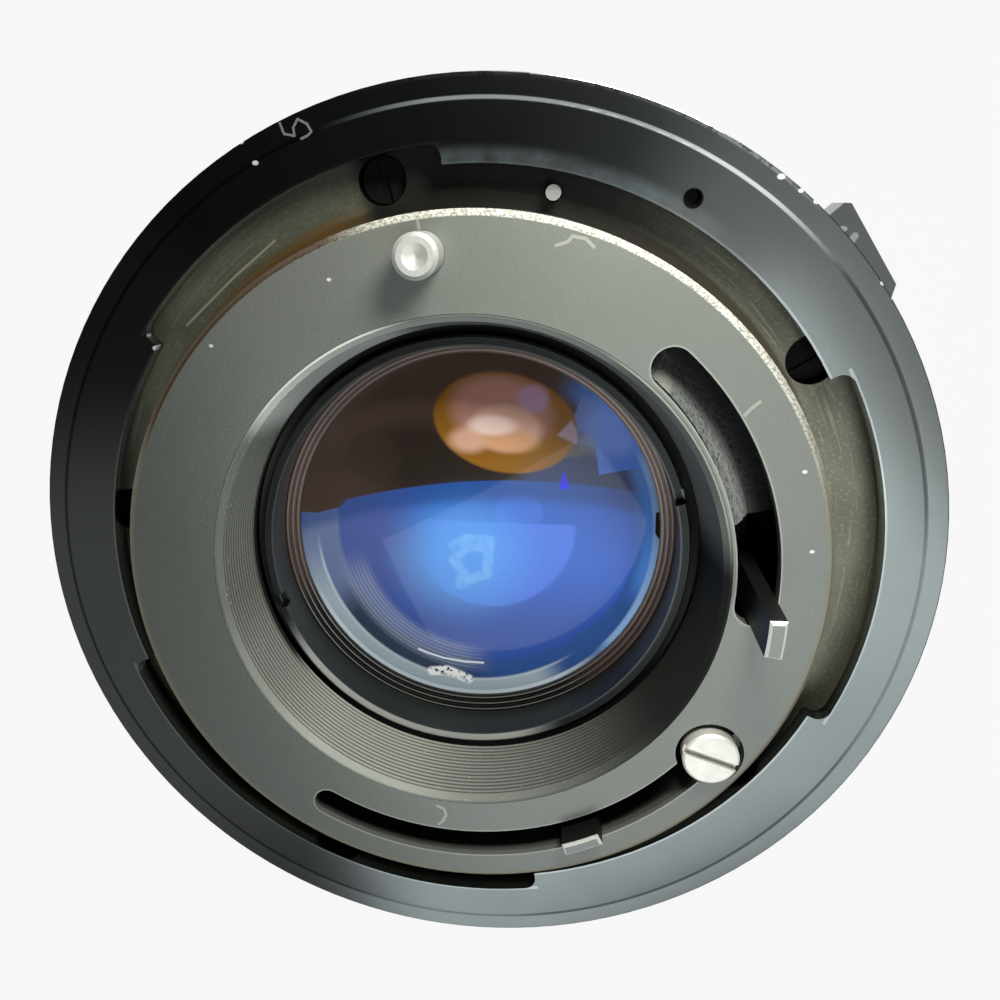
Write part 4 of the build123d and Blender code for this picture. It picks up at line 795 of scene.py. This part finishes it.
# %% The dark half and the blue field
def dark_half(tree, at, haze):
    """Dark brown, where the glass mirrors the ceiling: paler at the left and at the top."""
    left, below = band(tree, at["x"], None, -7, 5), band(tree, at["y"], None, 5, 4)
    above = band(tree, at["y"], 10.5, None, 3)
    return layered(tree, "#44372f", [
        (left, "#54443f", 0.8), (below, "#372c27", 0.75), *spots(tree, at, shadows), (above, "#5b4a3e", 0.7),
        (ellipse(tree, at, -8.0, 5.8, 2.2, 1.8, 0.5), "#332d27", 0.6), (haze, "#382d27", 0.4)])


def blue_field(tree, at, haze):
    """Violet blue at the left, purer at the right, darker below."""
    to_right = band(tree, at["x"], 4.0, None, 12.0)
    downward = band(tree, at["y"], None, -8, 6)
    return layered(tree, "#47558f", [
        (to_right, "#2e5ebd", 1.0), (haze, "#384d9c", 0.25), (downward, "#2b4690", 0.8)])


def blue_half(tree, at, haze, lower):
    """Layers for the blue field, the greyer blue outside the big disc, and the paler disc in it."""
    outside = layered(tree, "#2d3a48", [
        (band(tree, at["x"], 3, None, 6), "#2d4f8c", 0.95),
        (ellipse(tree, at, -11.6, -1.6, 3.0, 5.0, 0.9), "#68769c", 0.85)])
    beyond_disc = without(tree, ellipse(tree, at, *disc_centre, 11.6, 10.9, 0.035))
    deeper = ellipse(tree, at, 1.5, 3.2, 7.0, 3.4, 0.9)
    dome = product(tree, ellipse(tree, at, 3.3, 2.0, 1.8, 1.5, 0.2), band(tree, at["y"], 1.1, None, 0.2))
    pale_disc = product(tree, ellipse(tree, at, 1.3, 0.8, 6.3, 6.5, 0.05),
                        band(tree, at["y"], None, 1.1, 0.2), band(tree, at["x"], -2.0, None, 3.0))
    flare = ellipse(tree, at, -0.9, -1.7, 4.2, 4.0, 1.3)
    return [(lower, blue_field(tree, at, haze), 1.0), (product(tree, lower, beyond_disc), outside, 0.95),
            (product(tree, lower, deeper), "#2058ae", 0.6), (product(tree, dome, lower), "#3f70d4", 0.4),
            (pale_disc, "#4a73d6", 0.75), (flare, "#4f97e0", 0.68)]


# %% The ring, the arcs and the edges of the halves
def ring_and_arcs(tree, at, level, lower):
    """Layers for the torn ring, the halves' edge, the arcs outside the big disc and the glow at the right."""
    crumbly = band(tree, grain(tree, at, 0.6, 4.0), 0.5, None, 0.2)
    ragged = between(tree, grain(tree, at, 1.1, 4.0), 0.2, 1.2)
    ring = product(tree, stroke(tree, at, torn_ring, 0.8), between(tree, crumbly, 0.35, 1.0), ragged)
    under_edge = product(tree, lower, band(tree, level, 3.6, None, 1.2))
    centre = (*disc_centre, 0)
    from_disc = add(tree, "VectorMath", {0: at["flat"], 1: centre}, out="Value", operation="DISTANCE")
    lines = between(tree, band(tree, ripple(tree, from_disc, 0.3), 0.2, None, 0.9), 0.45, 1.0)
    arcs = product(tree, lines, band(tree, from_disc, 10.3, 11.5, 0.9),
                   band(tree, at["angle"], -152, -98, 20))
    navy = product(tree, without(tree, lower), band(tree, at["x"], 4.4, None, 1.6),
                   band(tree, at["y"], None, 6.3, 0.5))
    right_glow = ring_part(tree, at, (glass_r - 1.3, None, 1.2), (-10, 50, 16))
    return [(ring, "#8cc4f0", 0.38), (under_edge, "#1d3d74", 0.6), (arcs, "#7c87a1", 0.85),
            (navy, "#2b3a66", 0.9), (right_glow, "#5088e0", 0.85)]


def rim_of_glass(tree, at):
    """Layers for the rim: pale arcs below and at the right, a dark tab, a thin arc and a scuff."""
    pale_band = product(tree, ring_part(tree, at, (glass_r - 2.0, None, 0.3), (-148, None, 30)),
                        band(tree, at["angle"], None, -68, 14))
    inner_line = ring_part(tree, at, (glass_r - 2.08, glass_r - 1.94, 0.08), (-163, -64, 16))
    crescent = ring_part(tree, at, (glass_r - 0.95, None, 0.3), (-36, 24, 10))
    rim = ring_part(tree, at, (glass_r - 0.9, glass_r - 0.65, 0.12), (-140, -62, 24))
    scuff = product(tree, stroke(tree, at, scuff_line, 0.85),
                    band(tree, grain(tree, at, 0.35, 4.0), 0.47, None, 0.05))
    return [(pale_band, "#9fafb9", 0.94), (inner_line, "#b4c4cc", 0.6), (crescent, "#93b8e4", 0.8),
            (rim, "#cfe0ea", 0.8), (polygon(tree, at, rim_tab, 0.06), "#1a1513", 1.0),
            (stroke(tree, at, thin_arc, 0.17), "#dfe6ee", 0.85), (scuff, "#e9ecec", 0.95)]


# %% The three kinds of glass
def coated_rear(tree, at):
    """Coated crown glass: dark brown above, violet to blue below, amber in the middle."""
    haze = grain(tree, at, 3.0, 3.0)
    aside = add(tree, "Math", {0: at["x"], 1: 4.0}, operation="SUBTRACT")
    level = add(tree, "Math", {0: at["y"], 1: product(tree, aside, aside, 0.011)}, operation="ADD")
    outside_step = without(tree, polygon(tree, at, left_step, 0.15))
    lower = product(tree, band(tree, level, None, 4.4, 0.2), outside_step)
    colour = layered(tree, dark_half(tree, at, haze), [
        *blue_half(tree, at, haze, lower), *ring_and_arcs(tree, at, level, lower),
        *cards(tree, at, blue_cards), *spots(tree, at, blue_spots + amber_spots),
        *cards(tree, at, pale_card), *rim_of_glass(tree, at)])
    return {"Base Color": colour, "Roughness": 0.2, "Specular IOR Level": 0.1, "Coat Weight": 0.25,
            "Coat Roughness": 0.03}


def coated_front(tree, at):
    """The same glass at the front: deep, nearly black, with a purple and green sheen."""
    to_rim = add(tree, "MapRange", {"Value": at["r"], "From Min": 4.0, "From Max": 22.0})
    cloud = grain(tree, at, 12.0, 2.0)
    colour = layered(tree, "#15182a", [(to_rim, "#3a2450", 0.7), (cloud, "#1d3a34", 0.5)])
    return {"Base Color": colour, "Roughness": 0.08, "IOR": 1.52, "Coat Weight": 1.0, "Coat Roughness": 0.02}


def clear_glass(tree, at):
    """Clear inner elements."""
    return {"Base Color": layered(tree, "#dfe6ea", [(grain(tree, at, 6.0), "#cfd8e0", 0.5)]),
            "Roughness": 0.03, "IOR": 1.52, "Transmission Weight": 0.9}


dress(finish("coated_rear_glass", coated_rear), "rear_glass")
dress(finish("coated_front_glass", coated_front), "front_glass")
dress(finish("clear_optical_glass", clear_glass), "rear_inner_glass", "relay_front_glass",
      "front_inner_glass", "variator_glass", "compensator_glass")

# %% [markdown]
# ## Modelling helpers
#
# A turned or swept piece starts from one vertex: it is extruded along the outline and the outline is
# spun round the optical axis, as a profile tool does on a lathe. Edit mode keeps working on what is
# selected, so each piece starts with everything deselected.


# %% An outline spun about the axis
def spun(name, outline, start, sweep, steps):
    """A closed outline of (radius, height) in millimetres, spun about the optical axis."""
    bpy.ops.object.select_all(action="DESELECT")
    bpy.ops.mesh.primitive_plane_add(size=MM)
    piece = bpy.context.object
    piece.name = name
    bpy.ops.object.mode_set(mode="EDIT")
    bpy.ops.mesh.merge(type="CENTER")
    last = Vector((outline[0][0], 0, outline[0][1])) * MM
    bpy.ops.transform.translate(value=last)
    for radius, height in outline[1:]:
        here = Vector((radius, 0, height)) * MM
        bpy.ops.mesh.extrude_region_move(TRANSFORM_OT_translate={"value": here - last})
        last = here
    bpy.ops.mesh.select_all(action="SELECT")
    bpy.ops.mesh.edge_face_add()
    bpy.ops.transform.rotate(value=-math.radians(start), orient_axis="Z", center_override=(0, 0, 0))
    bpy.ops.mesh.spin(steps=steps, angle=-math.radians(sweep), center=(0, 0, 0), axis=(0, 0, 1))
    bpy.ops.mesh.select_all(action="SELECT")
    bpy.ops.mesh.remove_doubles(threshold=1e-6)
    bpy.ops.mesh.fill_holes(sides=0)
    bpy.ops.mesh.normals_make_consistent(inside=False)
    bpy.ops.object.mode_set(mode="OBJECT")
    turns = [math.degrees(math.atan2(v.co.y, v.co.x)) for v in piece.data.vertices]
    print(name, len(piece.data.polygons), "faces from", round(min(turns), 1), "to",
          round(max(turns), 1), "degrees")
    return piece


def joined(name, pieces):
    """Several pieces made one."""
    bpy.ops.object.select_all(action="DESELECT")
    for piece in pieces:
        piece.select_set(True)
    bpy.context.view_layer.objects.active = pieces[0]
    bpy.ops.object.join()
    pieces[0].name = name
    return pieces[0]


# %% [markdown]
# ## Flock behind the lever
#
# Behind the lever the slot is closed by a curtain covered with black flock, which keeps light off the
# film and stops the lever's rattle. It is a folded strip that rides on the lever's ring: it slopes up
# to the slot's inner edge, where the fibres meet the disc. Fibre tips catch light sideways, so the
# strip is roughened a few tenths of a millimetre, and its matt black has a soft sheen.

# %% The flocked curtain
# Each outline is (radius, height) in millimetres; the start and the sweep are in degrees.
slope_outline = [(17.95, 2.6), (21.3, 2.6), (21.3, 3.1), (19.3, 3.2), (18.85, 4.3), (18.35, 5.2),
                 (17.95, 5.6)]
slope = spun("flock_slope", slope_outline, 13.0, 43.0, 96)
wall = spun("flock_wall", [(18.3, -2.2), (20.9, -2.2), (20.9, 3.0), (18.3, 3.0)], 12.7, 1.2, 4)
arm = spun("flock_arm", [(18.95, -2.2), (19.9, -2.2), (19.9, -1.6), (18.95, -1.6)], 1.7, 11.5, 20)

# %% Fibres on the slope
bpy.ops.object.select_all(action="DESELECT")
slope.select_set(True)
bpy.context.view_layer.objects.active = slope
bpy.ops.object.mode_set(mode="EDIT")
bpy.ops.mesh.select_all(action="SELECT")
bpy.ops.mesh.subdivide(number_cuts=3)
bpy.ops.object.mode_set(mode="OBJECT")
clouds = bpy.data.textures.new("fibres", "CLOUDS")
clouds.noise_scale = 0.45 * MM
fuzz = slope.modifiers.new("fibres", "DISPLACE")
fuzz.texture = clouds
fuzz.texture_coords = "LOCAL"
fuzz.strength = 0.22 * MM
fuzz.mid_level = 0.7
bpy.ops.object.modifier_apply(modifier="fibres")
flock = joined("flocked_curtain", [slope, wall, arm])
print("flocked_curtain", len(flock.data.polygons), "faces")


def black_flock(tree, at):
    """Rayon flock: fibres of 0.3 mm, black and soft, with a dusty grey nap, a painted lit patch and painted
    shadow.
    """
    tuft = grain(tree, at, 0.22, 5.0)
    nap = band(tree, tuft, 0.5, None, 0.12)
    # Painted light: a paler patch on the slope. Painted shadow: nearly black beyond 20.3 mm, under the slot's
    # outer edge.
    bare = ellipse(tree, at, 12.3, 13.6, 0.6, 1.5, 0.6)
    outer_edge_shadow = band(tree, at["r"], 20.3, None, 1.5)
    colour = layered(tree, "#2b2f2e", [
        (nap, "#555b58", 0.75), (bare, "#7d8172", 0.5), (outer_edge_shadow, "#050606", 0.95)])
    return {"Base Color": colour, "Roughness": 0.95, "Sheen Weight": 0.3, "Sheen Roughness": 0.5,
            "Normal": relief(tree, tuft, 0.15)}


flock.data.materials.clear()
flock.data.materials.append(finish("black_flock", black_flock))
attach(flock, "stop_down")

# %% [markdown]
# ## Waffle rubber on the grip
#
# Zooms of this kind carry a rubber sleeve moulded in rows of small square pads. The pads are faces of
# one tall cylinder: every second ring and every second column of faces is pushed out, so the grooves
# between them stay at the sleeve's base.

# %% Where the rubber's grooves and pads lie
outer_r, base_z, top_z = reach("rubber_grip")
grip_r, _, grip_top = reach("grip_ring")
columns, rows, groove, end_rim, pad_height = 88, 14, 1.0, 1.6, 0.62
pad = (top_z - base_z - 2 * end_rim - (rows + 1) * groove) / rows
inner_r = grip_r + 0.01
base_r = outer_r - (pad_height + 0.03)
heights = [base_z, base_z + end_rim]
for row in range(rows):
    heights += [heights[-1] + groove, heights[-1] + groove + pad]
heights += [heights[-1] + groove, top_z]
print(rows, "rows of", columns, "pads, each", round(pad, 2), "mm high")

# %% The cylinder
bpy.ops.object.select_all(action="DESELECT")
bpy.ops.mesh.primitive_circle_add(vertices=2 * columns, radius=base_r * MM)
rubber = bpy.context.object
rubber.name = "waffle_rubber"
bpy.ops.object.mode_set(mode="EDIT")
bpy.ops.mesh.select_all(action="SELECT")
bpy.ops.transform.translate(value=(0, 0, base_z * MM))
for lower_z, upper_z in zip(heights, heights[1:]):
    bpy.ops.mesh.extrude_region_move(TRANSFORM_OT_translate={"value": (0, 0, (upper_z - lower_z) * MM)})
bpy.ops.mesh.select_all(action="SELECT")
bpy.ops.mesh.normals_make_consistent(inside=False)
bpy.ops.mesh.select_all(action="DESELECT")
bpy.ops.object.mode_set(mode="OBJECT")
print("waffle_rubber", len(rubber.data.polygons), "faces before the pads")

# %% The pads and both end rims, pushed out
for poly in rubber.data.polygons:
    turn = math.degrees(math.atan2(poly.center[1], poly.center[0])) % 360
    column = int(turn / (180 / columns))
    row = sum(poly.center[2] / MM > h for h in heights) - 1
    poly.select = row in (0, len(heights) - 2) or (column % 2 == 0 and row % 2 == 0)
bpy.context.tool_settings.mesh_select_mode = (False, False, True)
bpy.ops.object.mode_set(mode="EDIT")
bpy.ops.mesh.extrude_region_shrink_fatten(TRANSFORM_OT_shrink_fatten={"value": pad_height * MM})
bpy.ops.object.mode_set(mode="OBJECT")
bpy.context.tool_settings.mesh_select_mode = (True, False, False)

# %% The rubber's wall
solid = rubber.modifiers.new("wall", "SOLIDIFY")
solid.thickness = (base_r - inner_r) * MM
solid.offset = -1.0
bpy.ops.object.modifier_apply(modifier="wall")
print("waffle_rubber", len(rubber.data.polygons), "faces, radius",
      round(max(math.hypot(v.co.x, v.co.y) for v in rubber.data.vertices) / MM, 2))


def moulded_rubber(tree, at):
    """Black nitrile rubber with a bloom of grey dust in the grooves."""
    fine = grain(tree, at, 0.25)
    dust = band(tree, at["r"], None, outer_r - 0.45, 0.3)
    patch = grain(tree, at, 7.0)
    colour = layered(tree, "#181818", [(fine, "#222221", 0.6), (product(tree, dust, patch), "#3a3936", 0.5)])
    return {"Base Color": colour, "Roughness": between(tree, patch, 0.55, 0.72),
            "Normal": relief(tree, fine, 0.02)}


rubber_finish = finish("moulded_nitrile_rubber", moulded_rubber)
rubber.data.materials.clear()
rubber.data.materials.append(rubber_finish)
dress(rubber_finish, "rubber_grip")
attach(rubber, "grip")
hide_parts("rubber_grip")

# %% [markdown]
# ## Painted numbers and marks
#
# Dials of this kind are engraved and filled with paint. Text, made a mesh and laid on the ring one
# character at a time, gives the same look: each stands 0.03 mm proud, so it reads as paint. The rings
# in the frame say at what radius and height the numbers lie.


# %% Paint and one character
def enamel(base):
    """Engraving paint: slightly uneven, half gloss."""
    def build(tree, at):
        fleck = grain(tree, at, 0.3)
        return {"Base Color": layered(tree, base, [(fleck, "#8f8f88", 0.15)]), "Roughness": 0.45,
                "Normal": relief(tree, fleck, 0.01)}
    return build


paints = {"white": finish("white_engraving_paint", enamel("#e2e2da")),
          "orange": finish("orange_engraving_paint", enamel("#d9762c")),
          "red": finish("red_dot_paint", enamel("#b3261e"))}
paint_height = 0.03
letter_pitch = 0.6  # of the letters' size


def painted(piece, paint, body):
    """Give a mark its paint and the body that carries it."""
    piece.data.materials.clear()
    piece.data.materials.append(paints[paint])
    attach(piece, body)
    print(piece.name, len(piece.data.polygons), "faces")


def character(text, angle, radius, z, size):
    """One character laid on a ring; its top points to the front of the lens."""
    bpy.ops.object.select_all(action="DESELECT")
    bpy.ops.object.text_add()
    letter = bpy.context.object
    letter.data.body = text
    letter.data.size = size * MM
    letter.data.extrude = paint_height * MM
    letter.data.resolution_u = 4
    letter.data.align_x = "CENTER"
    letter.data.align_y = "CENTER"
    bpy.ops.object.convert(target="MESH")
    turn = math.radians(angle)
    outward = Vector((math.cos(turn), math.sin(turn), 0))
    upward = Vector((0, 0, -1))
    spot = Matrix.Translation((outward * radius + Vector((0, 0, z))) * MM)
    letter.matrix_world = spot @ Matrix((upward.cross(outward), upward, outward)).transposed().to_4x4()
    bpy.ops.object.transform_apply(location=True, rotation=True, scale=True)
    return letter


def numbers(name, labels, radius, size, body):
    """Labels as (text, angle, z), joined to one piece that rides on a body."""
    letters = []
    for text, angle, z in labels:
        for i, sign in enumerate(text):
            offset = (i - (len(text) - 1) / 2) * size * letter_pitch
            letters.append(character(sign, angle - math.degrees(offset / radius), radius, z, size))
    painted(joined(name, letters), "white", body)


# %% Aperture numbers, with 11 at the index line at rest
ring_r, ring_bottom, _ = reach("aperture_ring")
stops = ["5.6", "8", "11", "16", "22", "32"]
labels = [(text, 72 + 9 * i, ring_bottom + 2) for i, text in enumerate(stops)]
numbers("aperture_numbers", labels, ring_r, 2.3, "aperture")

# %% Focal lengths on the barrel, each read at the sleeve's rear edge
sleeve_top = reach("zoom_sleeve")[2]
labels = [(text, 90, sleeve_top + up) for text, up in (("100", 1.6), ("135", 15.4), ("200", 28.4))]
numbers("zoom_numbers", labels, reach("main_barrel")[0], 2.4, "fixed_barrel")

# %% Distances on the grip, in metres, with infinity at the index at rest
scale = [("∞", 0), ("20", 12), ("10", 24), ("7", 37), ("5", 54), ("4", 72), ("3", 99), ("2.5", 128),
         ("2", 168)]
labels = [(text, 90 - turn, grip_top - 3.3) for text, turn in scale]
numbers("distance_numbers", labels, grip_r, 2.4, "grip")


# %% Index lines
def mark(name, width, height, radius, z, paint, body):
    """A short painted line along the lens, at its index side."""
    bpy.ops.object.select_all(action="DESELECT")
    bpy.ops.mesh.primitive_cube_add(size=1)
    piece = bpy.context.object
    piece.name = name
    bpy.ops.object.mode_set(mode="EDIT")
    bpy.ops.transform.resize(value=(width * MM, 2 * paint_height * MM, height * MM))
    bpy.ops.mesh.bevel(offset=0.02 * MM, segments=2)
    bpy.ops.mesh.select_all(action="SELECT")
    bpy.ops.transform.translate(value=(0, radius * MM, z * MM))
    bpy.ops.object.mode_set(mode="OBJECT")
    painted(piece, paint, body)


index_r, _, index_top = reach("index_ring")
end_r, end_bottom, end_top = reach("sleeve_end_ring")
mark("aperture_index", 0.45, 2.6, index_r, index_top - 1.6, "white", "fixed_barrel")
mark("sleeve_index", 0.45, 1.2, end_r, (end_bottom + end_top) / 2, "orange", "zoom")

# %% The red dot, a flattened ball
dot_r, dot_flatness, dot_z = 1.1, 0.14, -3.6
bpy.ops.object.select_all(action="DESELECT")
bpy.ops.mesh.primitive_uv_sphere_add(segments=24, ring_count=12, radius=dot_r * MM)
dot = bpy.context.object
dot.name = "red_alignment_dot"
bpy.ops.object.mode_set(mode="EDIT")
bpy.ops.transform.resize(value=(1, dot_flatness, 1))
bpy.ops.transform.translate(value=(0, (breech_r - 0.09) * MM, dot_z * MM))
bpy.ops.object.mode_set(mode="OBJECT")
painted(dot, "red", "breech")
